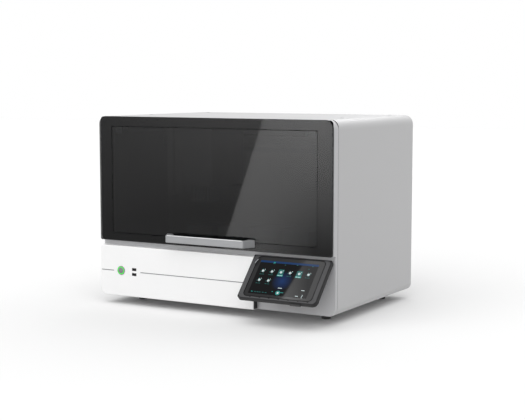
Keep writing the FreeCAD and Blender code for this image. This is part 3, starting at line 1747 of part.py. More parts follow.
keep("screen_display", make_screen_display())
keep("screen_shell", make_screen_shell())
keep("screen_bracket", make_screen_bracket())
doc.recompute()

for thing in doc.Objects:
    if "Invalid" in thing.State or "Error" in thing.State:
        raise ValueError("%s did not build" % thing.Label)
os.makedirs("parts", exist_ok=True)
for name, thing in nodes.items():
    shape = thing.Shape
    if shape.isNull() or not shape.isValid():
        raise ValueError("%s has no valid shape" % name)
    shape.exportStep("parts/%s.step" % name)
    print(name, len(shape.Solids), round(shape.Volume))
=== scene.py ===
import math

import bmesh
import bpy
from mathutils import Matrix, Vector


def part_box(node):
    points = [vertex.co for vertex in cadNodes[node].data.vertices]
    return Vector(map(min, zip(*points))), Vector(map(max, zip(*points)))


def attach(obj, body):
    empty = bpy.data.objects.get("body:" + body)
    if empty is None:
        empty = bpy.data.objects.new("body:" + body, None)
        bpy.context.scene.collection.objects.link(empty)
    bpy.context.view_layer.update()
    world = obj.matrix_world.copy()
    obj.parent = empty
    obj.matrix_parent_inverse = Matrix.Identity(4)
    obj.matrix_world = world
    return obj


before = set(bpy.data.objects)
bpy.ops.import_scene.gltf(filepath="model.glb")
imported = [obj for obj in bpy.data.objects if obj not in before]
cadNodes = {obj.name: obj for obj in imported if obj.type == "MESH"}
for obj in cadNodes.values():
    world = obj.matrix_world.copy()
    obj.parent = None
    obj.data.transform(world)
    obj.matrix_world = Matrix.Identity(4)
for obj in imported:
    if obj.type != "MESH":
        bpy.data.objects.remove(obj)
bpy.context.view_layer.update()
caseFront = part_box("door_glass")[0][1]
print("frame loaded,", len(cadNodes), "nodes")

# camera, at the place and lens that fit the photograph
cameraView = {
    "place": (1.7324, caseFront - 2.7069, 0.6224),
    "turn": 30.12,  # degrees to the left of straight ahead
    "dip": 6.056,  # degrees below level
    "lens": 83.29,
    "sensor": 36.0,
    "reach": 60.0,  # metres that the camera sees
}
lens = bpy.data.cameras.new("photoCamera")
lens.lens = cameraView["lens"]
lens.sensor_width = cameraView["sensor"]
lens.clip_end = cameraView["reach"]
camera = bpy.data.objects.new("photoCamera", lens)
camera.location = cameraView["place"]
camera.rotation_euler = (math.radians(90 - cameraView["dip"]), 0, math.radians(cameraView["turn"]))
bpy.context.scene.collection.objects.link(camera)
bpy.context.scene.camera = camera
bpy.context.scene.view_settings.view_transform = "Standard"
print("camera set")


# material helpers

def toLinear(hexColour):
    values = [int(hexColour[i:i + 2], 16) / 255 for i in (1, 3, 5)]
    linear = [v / 12.92 if v <= 0.04045 else ((v + 0.055) / 1.055) ** 2.4 for v in values]
    return (*linear, 1)


def addNode(tree, kind, values={}, links={}, **settings):
    node = tree.nodes.new(kind)
    for name, value in settings.items():
        setattr(node, name, value)
    for socket, value in values.items():
        node.inputs[socket].default_value = value
    for socket, source in links.items():
        tree.links.new(source, node.inputs[socket])
    return node


def newFinish(name, colour, roughness, metallic=0.0, **sockets):
    finish = bpy.data.materials.new(name)
    finish.use_nodes = True
    shader = finish.node_tree.nodes["Principled BSDF"]
    shader.inputs["Base Color"].default_value = toLinear(colour)
    shader.inputs["Roughness"].default_value = roughness
    shader.inputs["Metallic"].default_value = metallic
    for socket, value in sockets.items():
        shader.inputs[socket.replace("_", " ")].default_value = value
    return finish


bumpShare = 0.35  # how much of a grain's height the light sees


# a pattern of one real size in millimetres, which moves colour, roughness and height
def addGrain(finish, millimetres, stretch=(1, 1, 1), tones=None, roughness=None, height=0.0, detail=3.0):
    tree = finish.node_tree
    shader = tree.nodes["Principled BSDF"]
    place = addNode(tree, "ShaderNodeTexCoord")
    scaled = addNode(tree, "ShaderNodeMapping", {"Scale": stretch}, {"Vector": place.outputs["Object"]})
    grain = addNode(tree, "ShaderNodeTexNoise", {"Scale": 1000 / millimetres, "Detail": detail},
                    {"Vector": scaled.outputs["Vector"]})
    if tones:
        blend = addNode(tree, "ShaderNodeMix", {6: toLinear(tones[0]), 7: toLinear(tones[1])},
                        {"Factor": grain.outputs["Fac"]}, data_type="RGBA")
        tree.links.new(blend.outputs[2], shader.inputs["Base Color"])
    if roughness:
        spread = addNode(tree, "ShaderNodeMapRange", {"To Min": roughness[0], "To Max": roughness[1]},
                         {"Value": grain.outputs["Fac"]})
        tree.links.new(spread.outputs["Result"], shader.inputs["Roughness"])
    if height:
        bump = addNode(tree, "ShaderNodeBump", {"Strength": bumpShare, "Distance": height / 1000},
                       {"Height": grain.outputs["Fac"]})
        tree.links.new(bump.outputs["Normal"], shader.inputs["Normal"])
    return finish


# finishes, each named for what the real one is

# powder-coated steel, baked: a faint orange peel breaks up the highlights; 2.5 mm so that it shows
powderCoatedSteel = addGrain(newFinish("powderCoatedSteel", "#BEBEBF", 0.42), 2.5,
                             tones=("#BCBCBD", "#C1C1C2"), roughness=(0.36, 0.5), height=0.03)
# the same paint on the front frame, a touch cooler
paintedFrontFrame = addGrain(newFinish("paintedFrontFrame", "#C0C0C2", 0.45), 2.5,
                             tones=("#BEBEC0", "#C3C3C5"), roughness=(0.38, 0.52), height=0.03)
# moulded ABS, gloss tool: bright white with a soft sheen and slow ripples
mouldedWhiteAbs = addGrain(newFinish("mouldedWhiteAbs", "#F4F4F4", 0.3), 40,
                           tones=("#F3F3F3", "#F5F5F5"), roughness=(0.28, 0.32), detail=1.0)
# inside walls: satin white paint on sheet steel
satinWhiteSheet = addGrain(newFinish("satinWhiteSheet", "#CFCFD0", 0.5), 3,
                           tones=("#CACACB", "#D4D4D5"), roughness=(0.42, 0.58), height=0.03)
# moulded polypropylene plates: milky, with light in their thin walls
mouldedPolypropylene = addGrain(newFinish("mouldedPolypropylene", "#DDE0E2", 0.35, Subsurface_Weight=0.25), 4,
                                tones=("#D8DCDE", "#E4E6E8"), roughness=(0.3, 0.42), height=0.02)
# extruded and bead-blasted aluminium, clear anodised: fine even grit
anodisedAluminium = addGrain(newFinish("anodisedAluminium", "#A9ABAE", 0.38, 1.0), 0.8,
                             tones=("#A2A4A7", "#B1B3B6"), roughness=(0.32, 0.46), height=0.01)
# bar aluminium brushed along X: streaks about 0.4 mm apart, drawn a little coarser to show
brushedAluminium = addGrain(newFinish("brushedAluminium", "#949597", 0.5, 0.25), 1.1, stretch=(0.02, 1, 1),
                            tones=("#8A8B8D", "#9E9FA1"), roughness=(0.42, 0.56), height=0.02)
# painted highlight: a near-white strip that stands in for the light caught along the handle's upper front edge
paintedHandleHighlight = addGrain(newFinish("paintedHandleHighlight", "#F2F3F4", 0.3), 1.0, stretch=(0.03, 1, 1),
                          roughness=(0.26, 0.36))
# turned and ground steel: bright, with fine rings lost at this size
groundSteel = addGrain(newFinish("groundSteel", "#A6A7A9", 0.26, 1.0), 0.6,
                       tones=("#9C9D9F", "#B0B1B3"), roughness=(0.2, 0.34), height=0.005)
# zinc-plated pressed steel, slightly mottled
zincPlate = addGrain(newFinish("zincPlate", "#9EA0A2", 0.4, 1.0), 9,
                     tones=("#94979A", "#ABADAF"), roughness=(0.32, 0.5), height=0.01)
# black e-coated steel
blackCoatedSteel = addGrain(newFinish("blackCoatedSteel", "#101011", 0.4), 2,
                            tones=("#0D0D0E", "#141415"), roughness=(0.34, 0.48), height=0.02)
# moulded black ABS with a spark-eroded texture, 0.7 mm grit; the same black is painted shade on the lower panel's end
# under the tablet
texturedBlackAbsAndEndShade = addGrain(newFinish("texturedBlackAbsAndEndShade", "#1C1C1D", 0.55), 0.7,
                            tones=("#18181A", "#222224"), roughness=(0.48, 0.64), height=0.04)
# the tablet's bumper: black elastomer, and a paler copy of the same elastomer as painted light on the front face round
# the glass, which the lamps light more than the sides
paintedLitBumperFace = addGrain(newFinish("paintedLitBumperFace", "#363638", 0.5), 0.9,
                      tones=("#323234", "#3C3C3E"), roughness=(0.44, 0.58), height=0.03)
overmouldedBumper = addGrain(newFinish("overmouldedBumper", "#161618", 0.6, IOR=1.4), 0.9,
                             tones=("#131315", "#1A1A1C"), roughness=(0.54, 0.7), height=0.05)
# moulded black rubber feet and seals; the same black is painted shade in the seam between front frame and cover
blackRubberAndSeamShade = addGrain(newFinish("blackRubberAndSeamShade", "#161616", 0.75), 1.2,
                         tones=("#121212", "#1C1C1C"), roughness=(0.68, 0.84), height=0.05)
# white nylon fittings
mouldedNylon = addGrain(newFinish("mouldedNylon", "#D4D4D2", 0.45), 1.5,
                        tones=("#CDCDCB", "#DADAD8"), roughness=(0.38, 0.54), height=0.03)
# black-painted motor cans, laminated along their length
laminatedMotor = addGrain(newFinish("laminatedMotor", "#232427", 0.45, 0.4), 1.0, stretch=(0.05, 1, 0.05),
                          tones=("#1D1E21", "#2C2D30"), roughness=(0.38, 0.54), height=0.04)
# solder mask over copper: dark green with paler tracks
solderMask = addGrain(newFinish("solderMask", "#10402A", 0.35), 6, stretch=(1, 4, 1),
                      tones=("#0B3320", "#1A5236"), roughness=(0.3, 0.42), height=0.02)
# lamp tube: clear glass, frosted a little at this size
lampGlass = addGrain(newFinish("lampGlass", "#D6D8E4", 0.12), 5,
                     tones=("#CFD1DE", "#DEE0EA"), roughness=(0.1, 0.18))
# the power button's housing: satin nickel, darker than the panel round it
satinButtonMetal = addGrain(newFinish("satinButtonMetal", "#7E7F81", 0.4, 0.5), 0.8,
                            tones=("#767779", "#88898B"), roughness=(0.34, 0.46))
# lit ring of the power button: green light behind clear plastic
litGreenRing = addGrain(newFinish("litGreenRing", "#033008", 0.3, IOR=1.2), 3, tones=("#022A06", "#04380A"))
ringShader = litGreenRing.node_tree.nodes["Principled BSDF"]
ringShader.inputs["Emission Color"].default_value = toLinear("#08F010")
ringShader.inputs["Emission Strength"].default_value = 1.5
# anodised strip let into the front panel: mid grey and even
inlayStrip = addGrain(newFinish("inlayStrip", "#707274", 0.45, 0.3), 1.0, stretch=(0.03, 1, 1),
                      tones=("#6A6C6E", "#787A7C"), roughness=(0.38, 0.52))
# cover glass of the tablet: black from behind, coated against glare
coverGlass = addGrain(newFinish("coverGlass", "#252526", 0.06, IOR=1.25), 40,
                      tones=("#232324", "#272728"), roughness=(0.04, 0.08))


# cast acrylic of the door, smoke tinted: polished, with the faintest waviness
doorTint = {"share": 0.72, "tint": "#060607", "wave": 160}  # share held back at each face; wave in mm


def makeTintedAcrylic():
    finish = newFinish("tintedAcrylic", doorTint["tint"], 0.03, IOR=1.3855, Alpha=doorTint["share"])
    return addGrain(finish, doorTint["wave"], roughness=(0.02, 0.045), detail=1.0)


tintedAcrylic = makeTintedAcrylic()
# black screen print behind the border of the door; the same matt black is painted shade in the window's groove and in
# the tablet's notches
printAndPaintedShade = addGrain(newFinish("printAndPaintedShade", "#050505", 0.6, Specular_IOR_Level=0.0), 2,
                       tones=("#040404", "#070707"))

# the display module behind its glass, dark where the picture does not cover it
displayPanel = addGrain(newFinish("displayPanel", "#141416", 0.2), 30, tones=("#131315", "#161618"))

finishOf = {
    "outer_cover": powderCoatedSteel, "rear_panel": powderCoatedSteel, "front_bezel": paintedFrontFrame,
    "lower_front_panel": mouldedWhiteAbs, "chamber_liner": satinWhiteSheet, "head_cover": satinWhiteSheet,
    "head_duct": mouldedNylon, "lamp_holders": mouldedNylon, "uv_lamp": lampGlass,
    "door_glass": tintedAcrylic, "door_frame": blackCoatedSteel, "door_handle": brushedAluminium,
    "door_screws": zincPlate, "hinge_body_leaves": zincPlate, "hinge_door_leaves": zincPlate,
    "door_seal_strips": blackRubberAndSeamShade, "feet": blackRubberAndSeamShade, "cross_belt": blackRubberAndSeamShade,
    "usb_sockets": blackCoatedSteel, "data_ports": zincPlate, "screen_bracket": zincPlate, "case_screws": zincPlate,
    "inner_posts": zincPlate, "base_plate": zincPlate, "power_supply": zincPlate,
    "power_button_body": satinButtonMetal, "power_button_cap": satinButtonMetal,
    "power_button_light": litGreenRing,
    "fan_frame": texturedBlackAbsAndEndShade, "fan_rotor": texturedBlackAbsAndEndShade, "fan_guard": groundSteel,
    "power_inlet": texturedBlackAbsAndEndShade, "mains_rocker": texturedBlackAbsAndEndShade, "main_board": solderMask,
    "deck_plate": anodisedAluminium, "heater_blocks": anodisedAluminium,
    "deep_well_plate_1": mouldedPolypropylene, "deep_well_plate_2": mouldedPolypropylene,
    "deep_well_plate_3": mouldedPolypropylene, "deep_well_plate_4": mouldedPolypropylene,
    "tip_comb": mouldedPolypropylene,
    "cross_beam": anodisedAluminium, "drive_pulley": anodisedAluminium, "idler_pulley": anodisedAluminium,
    "head_frame": anodisedAluminium, "lift_stage": anodisedAluminium, "comb_holder": anodisedAluminium,
    "rod_plate": anodisedAluminium, "cross_rail": groundSteel, "cross_carriage": groundSteel,
    "lift_screw": groundSteel, "rod_screw": groundSteel, "magnet_rods": groundSteel,
    "cross_motor": laminatedMotor, "lift_motor": laminatedMotor, "rod_motor": laminatedMotor,
    "screen_bumper": overmouldedBumper, "screen_shell": texturedBlackAbsAndEndShade, "screen_glass": coverGlass,
    "screen_display": displayPanel,
}
for name, node in cadNodes.items():
    node.data.materials.clear()
    node.data.materials.append(finishOf[name])
print("finishes given to", len(finishOf), "nodes")


# piece helpers

def addPiece(name, shape, body, *finishes):
    mesh = bpy.data.meshes.new(name)
    shape.to_mesh(mesh)
    shape.free()
    piece = bpy.data.objects.new(name, mesh)
    bpy.context.scene.collection.objects.link(piece)
    for finish in finishes:
        mesh.materials.append(finish)
    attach(piece, body)
    return piece


# a plate of width x thickness x height about a centre, its four corners rounded as seen from the front
def addPlate(shape, centre, size, corner=0.0, finish=0, turn=0.0):
    made = bmesh.ops.create_cube(shape, size=1.0)["verts"]
    bmesh.ops.scale(shape, vec=size, verts=made)
    if corner:
        edges = {e for v in made for e in v.link_edges if abs(e.verts[0].co.y - e.verts[1].co.y) > size[1] / 2}
        bevelled = bmesh.ops.bevel(shape, geom=list(edges), offset=corner, segments=5, profile=0.5,
                                   affect="EDGES", material=-1)
        made = list({v for v in made if v.is_valid} | set(bevelled["verts"]))
    for face in {f for v in made for f in v.link_faces}:
        face.material_index = finish
    place = Matrix.Translation(centre) @ Matrix.Rotation(turn, 4, "Y")
    bmesh.ops.transform(shape, matrix=place, verts=made)
    return made


def addRing(shape, centre, outer, inner, thickness, finish=0, segments=40):
    rim = bmesh.ops.create_circle(shape, segments=segments, radius=outer)["verts"]
    hole = bmesh.ops.create_circle(shape, segments=segments, radius=inner)["verts"]
    edges = [e for v in rim + hole for e in v.link_edges]
    faces = bmesh.ops.bridge_loops(shape, edges=list(set(edges)))["faces"]
    raised = bmesh.ops.extrude_face_region(shape, geom=faces)["geom"]
    top = [v for v in raised if isinstance(v, bmesh.types.BMVert)]
    bmesh.ops.translate(shape, vec=(0, 0, thickness), verts=top)
    made = list(set(rim + hole + top))
    for face in {f for v in made for f in v.link_faces}:
        face.material_index = finish
    place = Matrix.Translation(centre) @ Matrix.Rotation(math.radians(90), 4, "X")
    bmesh.ops.transform(shape, matrix=place, verts=made)
    return made


# a flat ring between two rounded outlines, each (low x, high x, low z, high z, corner)
def addFrame(shape, outer, inner, y, thickness, finish=0):
    before = set(shape.verts)
    for lowX, highX, lowZ, highZ, corner in (outer, inner):
        sheet = bmesh.ops.create_grid(shape, x_segments=1, y_segments=1, size=0.5)["verts"]
        place = Matrix.Translation(((lowX + highX) / 2, y, (lowZ + highZ) / 2))
        size = Matrix.Diagonal((highX - lowX, 1, highZ - lowZ, 1))
        bmesh.ops.transform(shape, matrix=place @ size @ Matrix.Rotation(math.radians(90), 4, "X"), verts=sheet)
        bmesh.ops.bevel(shape, geom=sheet, offset=corner, segments=6, profile=0.5, affect="VERTICES", material=-1)
    rims = [v for v in shape.verts if v not in before]
    sheets = {f for v in rims for f in v.link_faces}
    edges = {e for v in rims for e in v.link_edges}
    bmesh.ops.delete(shape, geom=list(sheets), context="FACES_ONLY")
    ring = bmesh.ops.bridge_loops(shape, edges=list(edges))["faces"]
    raised = bmesh.ops.extrude_face_region(shape, geom=ring)["geom"]
    top = [v for v in raised if isinstance(v, bmesh.types.BMVert)]
    bmesh.ops.translate(shape, vec=(0, thickness, 0), verts=top)
    made = [v for v in shape.verts if v not in before]
    faces = {f for v in made for f in v.link_faces}
    bmesh.ops.recalc_face_normals(shape, faces=list(faces))
    for face in faces:
        face.material_index = finish
    return made


# an outline of a node as seen from the front, drawn in by an inset
def outlineOf(node, inset, corner):
    low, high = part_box(node)
    return (low[0] + inset, high[0] - inset, low[2] + inset, high[2] - inset, corner)


# an outline drawn in by an inset, with its corners tightened
def drawnIn(outline, inset, tighter=0.0):
    lowX, highX, lowZ, highZ, corner = outline
    return (lowX + inset, highX - inset, lowZ + inset, highZ - inset, corner - tighter)


# trim of the case front, in metres: a black strip in the seam as painted shade, strips in the panel's groove, a black
# sheet on the panel's end as painted shade
caseTrim = {
    "seamSetBack": 0.0303,
    "seamCorner": 0.02,
    "seamShadeInset": 0.0002,
    "seamShadeWidth": 0.0017,
    "seamShadeGap": 0.0001,
    "stripSetBack": 0.0005,
    "stripThickness": 0.0005,
    "stripHeight": 0.0952,
    "stripWidth": 0.0023,
    "stripEndGap": 0.0014,
    "stripEnds": ((-0.3620, -0.3194), (-0.2290, None)),  # the second strip runs on to the panel's end
    "endShadeThickness": 0.0003,
    "endShadeSetBack": 0.0102,
    "endShadeDepth": 0.0176,
    "endShadeShort": 0.003,
}


# painted shade: a black strip in the seam between front frame and cover, where the gap's shade falls
def makeSeamShade():
    shape = bmesh.new()
    inset, width, gap = caseTrim["seamShadeInset"], caseTrim["seamShadeWidth"], caseTrim["seamShadeGap"]
    corner = caseTrim["seamCorner"]
    seamLow = caseFront + caseTrim["seamSetBack"]
    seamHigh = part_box("outer_cover")[0][1]
    outer = outlineOf("outer_cover", inset, corner)
    inner = outlineOf("outer_cover", inset + width, corner - width)
    addFrame(shape, outer, inner, seamLow + gap, seamHigh - seamLow - 2 * gap)
    return addPiece("seamShade", shape, "case", blackRubberAndSeamShade)


def makeInlayStrips():
    shape = bmesh.new()
    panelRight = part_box("lower_front_panel")[1][0] - caseTrim["stripEndGap"]
    for left, right in caseTrim["stripEnds"]:
        right = right or panelRight
        centre = ((left + right) / 2, caseFront + caseTrim["stripSetBack"], caseTrim["stripHeight"])
        addPlate(shape, centre, (right - left, caseTrim["stripThickness"], caseTrim["stripWidth"]))
    return addPiece("inlayStrips", shape, "case", inlayStrip)


# painted shade: a thin black sheet on the lower panel's right end, which lies in the tablet's shadow
def makePanelEndShade():
    shape = bmesh.new()
    low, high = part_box("lower_front_panel")
    thick = caseTrim["endShadeThickness"]
    centre = (high[0] + thick / 2, caseFront + caseTrim["endShadeSetBack"], (low[2] + high[2]) / 2)
    addPlate(shape, centre, (thick, caseTrim["endShadeDepth"], high[2] - low[2] - caseTrim["endShadeShort"]))
    return addPiece("panelEndShade", shape, "case", texturedBlackAbsAndEndShade)


# door, in metres: the window's outline, a matt black strip in its groove as painted shade, and the print on the
# border's back
doorTrim = {
    "window": (-0.322, 0.322, 0.202, 0.499, 0.004),
    "grooveShade": 0.0015,
    "grooveShadeGap": 0.0001,
    "grooveShadeSetBack": 0.00015,
    "grooveShadeThickness": 0.0006,
    "print": 0.0002,
    "printInset": 0.001,
    "printCorner": 0.01,
    "printSunk": 0.0004,
}


# painted shade: a matt black strip in the window's groove
def makeWindowGrooveShade():
    shape = bmesh.new()
    outer = drawnIn(doorTrim["window"], doorTrim["grooveShadeGap"])
    inner = drawnIn(doorTrim["window"], doorTrim["grooveShade"], doorTrim["grooveShade"])
    addFrame(shape, outer, inner, caseFront + doorTrim["grooveShadeSetBack"], doorTrim["grooveShadeThickness"])
    return addPiece("windowGrooveShade", shape, "door", printAndPaintedShade)


def makeBorderPrint():
    shape = bmesh.new()
    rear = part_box("door_glass")[1][1]
    outer = outlineOf("door_glass", doorTrim["printInset"], doorTrim["printCorner"])
    addFrame(shape, outer, doorTrim["window"], rear - doorTrim["printSunk"], doorTrim["print"])
    return addPiece("borderPrint", shape, "door", printAndPaintedShade)


# painted highlight: a narrow near-white strip along the handle's upper front edge
handleHighlight = {"side": 0.0016, "sunk": 0.0001, "length": 0.235}


def makeHandleHighlight():
    shape = bmesh.new()
    low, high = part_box("door_handle")
    side = handleHighlight["side"]
    made = addPlate(shape, (0, 0, 0), (handleHighlight["length"], side, side))
    depth = side / math.sqrt(2) + handleHighlight["sunk"] - side / 4
    place = Matrix.Translation(((low[0] + high[0]) / 2, low[1] + depth, high[2] - depth))
    bmesh.ops.transform(shape, matrix=place @ Matrix.Rotation(math.radians(45), 4, "X"), verts=made)
    return addPiece("handlePaintedHighlight", shape, "door", paintedHandleHighlight)


makeHandleHighlight()
makeSeamShade()
makeInlayStrips()
makePanelEndShade()
makeWindowGrooveShade()
makeBorderPrint()
print("case and door trim made")


# what the tablet shows, on its cover glass; lengths in mm, x from the case's middle and z from the tilt axis
tabletScreen = {
    "axis": (0, caseFront + 0.014, 0.1556),
    "lean": 43.2,
    "face": -0.0166,  # front of the cover glass, along the tablet's normal
    "lift": 0.00012,
    "ground": (246.5, -61.35, 169.0, 103.3),  # middle and size of the lit area
    "strip": (246.5, -12.6, 169.0, 5.8),
    "topMarks": ((203, -17, 6.0), (236.5, -19, 3.4), (270.8, -16.5, 4.2), (315, -16.4, 4.6), (307, -25.4, 3.2)),
    "iconRow": -42.0,
    "icons": (179.5, 206.0, 232.5, 259.0, 285.5, 312.0),
    "litIcons": (2, 4),
    "lowRow": -70.3,
    "lowIcons": (179.3, 206.0),
    "labelDrop": 10.3,
    "labelMarks": ((-4.4, 4.4), (0.8, 3.4), (5.0, 2.6)),  # place from the icon's middle, and width
    "tile": (16, 17),  # behind a lit icon
    "tileCorner": 1.6,
    "label": (17, 4.6),
    "labelCorner": 0.8,
    "iconRing": (3.6, 2.2),
    "core": 3.2,
    "dot": (1.8, 1.2),
    "dotReach": 6.2,
    "dotTurn": 20,
    "spark": (4.6, 5, 1.8, 1.8),
    "glow": (245.8, -68.0, 30.0),
    "button": (246.5, -104.8, 6.5),
    "marks": ((247.5, -90.0, 12.0), (313.8, -90.7, 9.0), (302.0, -109.0, 8.0), (317.0, -104.5, 2.6),
              (317.0, -108.2, 2.6), (317.0, -112.0, 2.6)),
    "status": (181.0, 188.5, 195.0, 204.0, 212.5),
    "statusRow": -107,
    "statusWidth": 5.5,
    "topTile": (203, -14, 5, 3.6),
    "markCorner": 0.4,
    "tealMarks": ((171.8, -106.7, 5.0), (230.0, -102.0, 3.6), (257.5, -102.6, 9.0)),
}


def makeGlow(name, colour, strength, mottle):
    finish = addGrain(newFinish(name, "#050506", 0.12, IOR=1.2), 4)
    tree = finish.node_tree
    shader = tree.nodes["Principled BSDF"]
    shader.inputs["Emission Color"].default_value = toLinear(colour)
    place = addNode(tree, "ShaderNodeTexCoord")
    grain = addNode(tree, "ShaderNodeTexNoise", {"Scale": 1000 / mottle}, {"Vector": place.outputs["Object"]})
    level = addNode(tree, "ShaderNodeMapRange", {"To Min": strength * 0.85, "To Max": strength * 1.15},
                    {"Value": grain.outputs["Fac"]})
    tree.links.new(level.outputs["Result"], shader.inputs["Emission Strength"])
    return finish


def leanMatrix():
    return Matrix.Translation(tabletScreen["axis"]) @ Matrix.Rotation(math.radians(-tabletScreen["lean"]), 4, "X")


def makeScreenGround():
    finish = newFinish("litScreenGround", "#040405", 0.04, IOR=1.2)
    tree = finish.node_tree
    shader = tree.nodes["Principled BSDF"]
    x, z, radius = [value / 1000 for value in tabletScreen["glow"]]
    middle = leanMatrix() @ Vector((x, tabletScreen["face"], z))
    place = addNode(tree, "ShaderNodeTexCoord")
    centred = addNode(tree, "ShaderNodeMapping", {"Location": middle, "Scale": (radius, radius, radius)},
                      {"Vector": place.outputs["Object"]}, vector_type="TEXTURE")
    ball = addNode(tree, "ShaderNodeTexGradient", {}, {"Vector": centred.outputs["Vector"]},
                   gradient_type="SPHERICAL")
    tone = addNode(tree, "ShaderNodeMix", {6: toLinear("#040405"), 7: toLinear("#17376B")},
                   {"Factor": ball.outputs["Fac"]}, data_type="RGBA")
    tree.links.new(tone.outputs[2], shader.inputs["Emission Color"])
    shader.inputs["Emission Strength"].default_value = 0.8
    return finish


def makeScreenPicture():
    layout = tabletScreen
    lift, face = layout["lift"], layout["face"]
    strip = makeGlow("litBlueStrip", "#11396A", 0.8, 9)
    teal = makeGlow("litTeal", "#27948D", 0.95, 3)
    pale = makeGlow("litPale", "#DDEDEE", 0.9, 3)
    dim = makeGlow("litDimTeal", "#2B6F6C", 0.75, 2)
    shape = bmesh.new()

    def flat(x, z, wide, high, finish, corner=0.0, rise=1, turn=0.0):
        addPlate(shape, (x / 1000, face - (rise + 0.5) * lift, z / 1000), (wide / 1000, lift, high / 1000),
                 corner / 1000, finish, turn)

    def ring(x, z, outer, inner, finish):
        addRing(shape, (x / 1000, face - 2 * lift, z / 1000), outer / 1000, inner / 1000, lift / 2, finish, 28)

    blueSlot, tealSlot, paleSlot, dimSlot = 1, 2, 3, 4
    soft = layout["markCorner"]
    flat(*layout["ground"], 0, 1, 0)
    flat(*layout["strip"], blueSlot)
    for x, z, wide in layout["topMarks"]:
        flat(x, z, wide, 1.6, dimSlot, soft)
    flat(*layout["topTile"], tealSlot, layout["labelCorner"], 2)
    icons = [(x, layout["iconRow"], index in layout["litIcons"]) for index, x in enumerate(layout["icons"])]
    icons += [(x, layout["lowRow"], False) for x in layout["lowIcons"]]
    for index, (x, z, lit) in enumerate(icons):
        labelRow = z - layout["labelDrop"]
        if lit:
            flat(x, z, *layout["tile"], dimSlot, layout["tileCorner"])
            flat(x, labelRow, *layout["label"], tealSlot, layout["labelCorner"])
        ring(x, z, *layout["iconRing"], paleSlot)
        for turn in (0, 90, 180, 270):
            offset = Matrix.Rotation(math.radians(turn + layout["dotTurn"]), 2) @ Vector((layout["dotReach"], 0))
            flat(x + offset[0], z + offset[1], *layout["dot"], tealSlot, 0.5, 2, math.radians(turn))
        core = layout["core"]
        flat(x, z, core, core, paleSlot, 0.5, 2, math.radians(45 if index % 2 else 0))
        right, up, wide, high = layout["spark"]
        flat(x + right, z + up, wide, high, paleSlot, 0.6, 2)
        for offset, wide in layout["labelMarks"]:
            flat(x + offset, labelRow, wide, 1.5, paleSlot if lit else dimSlot, soft, 2)
    for x in layout["status"]:
        flat(x, layout["statusRow"], layout["statusWidth"], 1.6, dimSlot, soft)
    for x, z, wide in layout["marks"]:
        flat(x, z, wide, 1.7, paleSlot, soft)
    for x, z, wide in layout["tealMarks"]:
        flat(x, z, wide, 1.8, tealSlot, soft)
    x, z, radius = layout["button"]
    ring(x, z, radius, radius * 0.62, tealSlot)
    flat(x, z, radius * 0.9, radius * 0.9, paleSlot, radius * 0.4, 2)
    bmesh.ops.transform(shape, matrix=leanMatrix(), verts=shape.verts)
    return addPiece("screenPicture", shape, "screen", makeScreenGround(), strip, teal, pale, dim)


screenPicture = makeScreenPicture()
print("screen picture made")

# marks of the tablet's front: black plates in the notches below the glass as painted shade, a pale slot at the upper
# left, a dark line round the glass, and a paler ring on the bumper's front face as painted light
bumperMarks = {
    "notches": [173.2 + 27.65 * step for step in range(7)],
    "notchHeight": -123.9,
    "notchSize": (0.0042, 0.0003, 0.0015),
    "notchCorner": 0.0004,
    "rise": 0.0004,  # how far the marks stand before the glass
    "slot": (149.25, -13.5),
    "slotSize": (0.0022, 0.0004, 0.014),
    "slotCorner": 0.0008,
    "slotTurn": 22.8,
    "glass": (0.14915, 0.34865, -0.1225, 0.0035, 0.012),
    "line": 0.0018,
    "lineGap": 0.0001,
    "lineSunk": 0.00005,
    "lineThickness": 0.0003,
    # paler ring on the bumper's front face: painted light, lighter than the sides because it faces the lamps
    "face": (0.1377, 0.3601, -0.127, 0.0045, 0.01),
    "litFaceRise": 0.0001,
    "litFaceThickness": 0.0004,
}


def makeBumperMarks():
    shape = bmesh.new()
    marks = bumperMarks
    front = tabletScreen["face"] - marks["rise"]
    # black plates in the notches: painted shade of the recesses
    for x in marks["notches"]:
        centre = (x / 1000, front, marks["notchHeight"] / 1000)
        addPlate(shape, centre, marks["notchSize"], marks["notchCorner"])
    outer = drawnIn(marks["glass"], marks["lineGap"])
    inner = drawnIn(marks["glass"], marks["line"], marks["line"])
    addFrame(shape, outer, inner, front + marks["lineSunk"], marks["lineThickness"])
    # the bumper's front face in a paler copy of its elastomer: painted light
    addFrame(shape, marks["face"], marks["glass"], front - marks["litFaceRise"], marks["litFaceThickness"], 2)
    x, z = marks["slot"]
    addPlate(shape, (x / 1000, front, z / 1000), marks["slotSize"], marks["slotCorner"], 1,
             math.radians(marks["slotTurn"]))
    bmesh.ops.transform(shape, matrix=leanMatrix(), verts=shape.verts)
    return addPiece("bumperMarks", shape, "screen", printAndPaintedShade, zincPlate, paintedLitBumperFace)


makeBumperMarks()
print("bumper marks made")


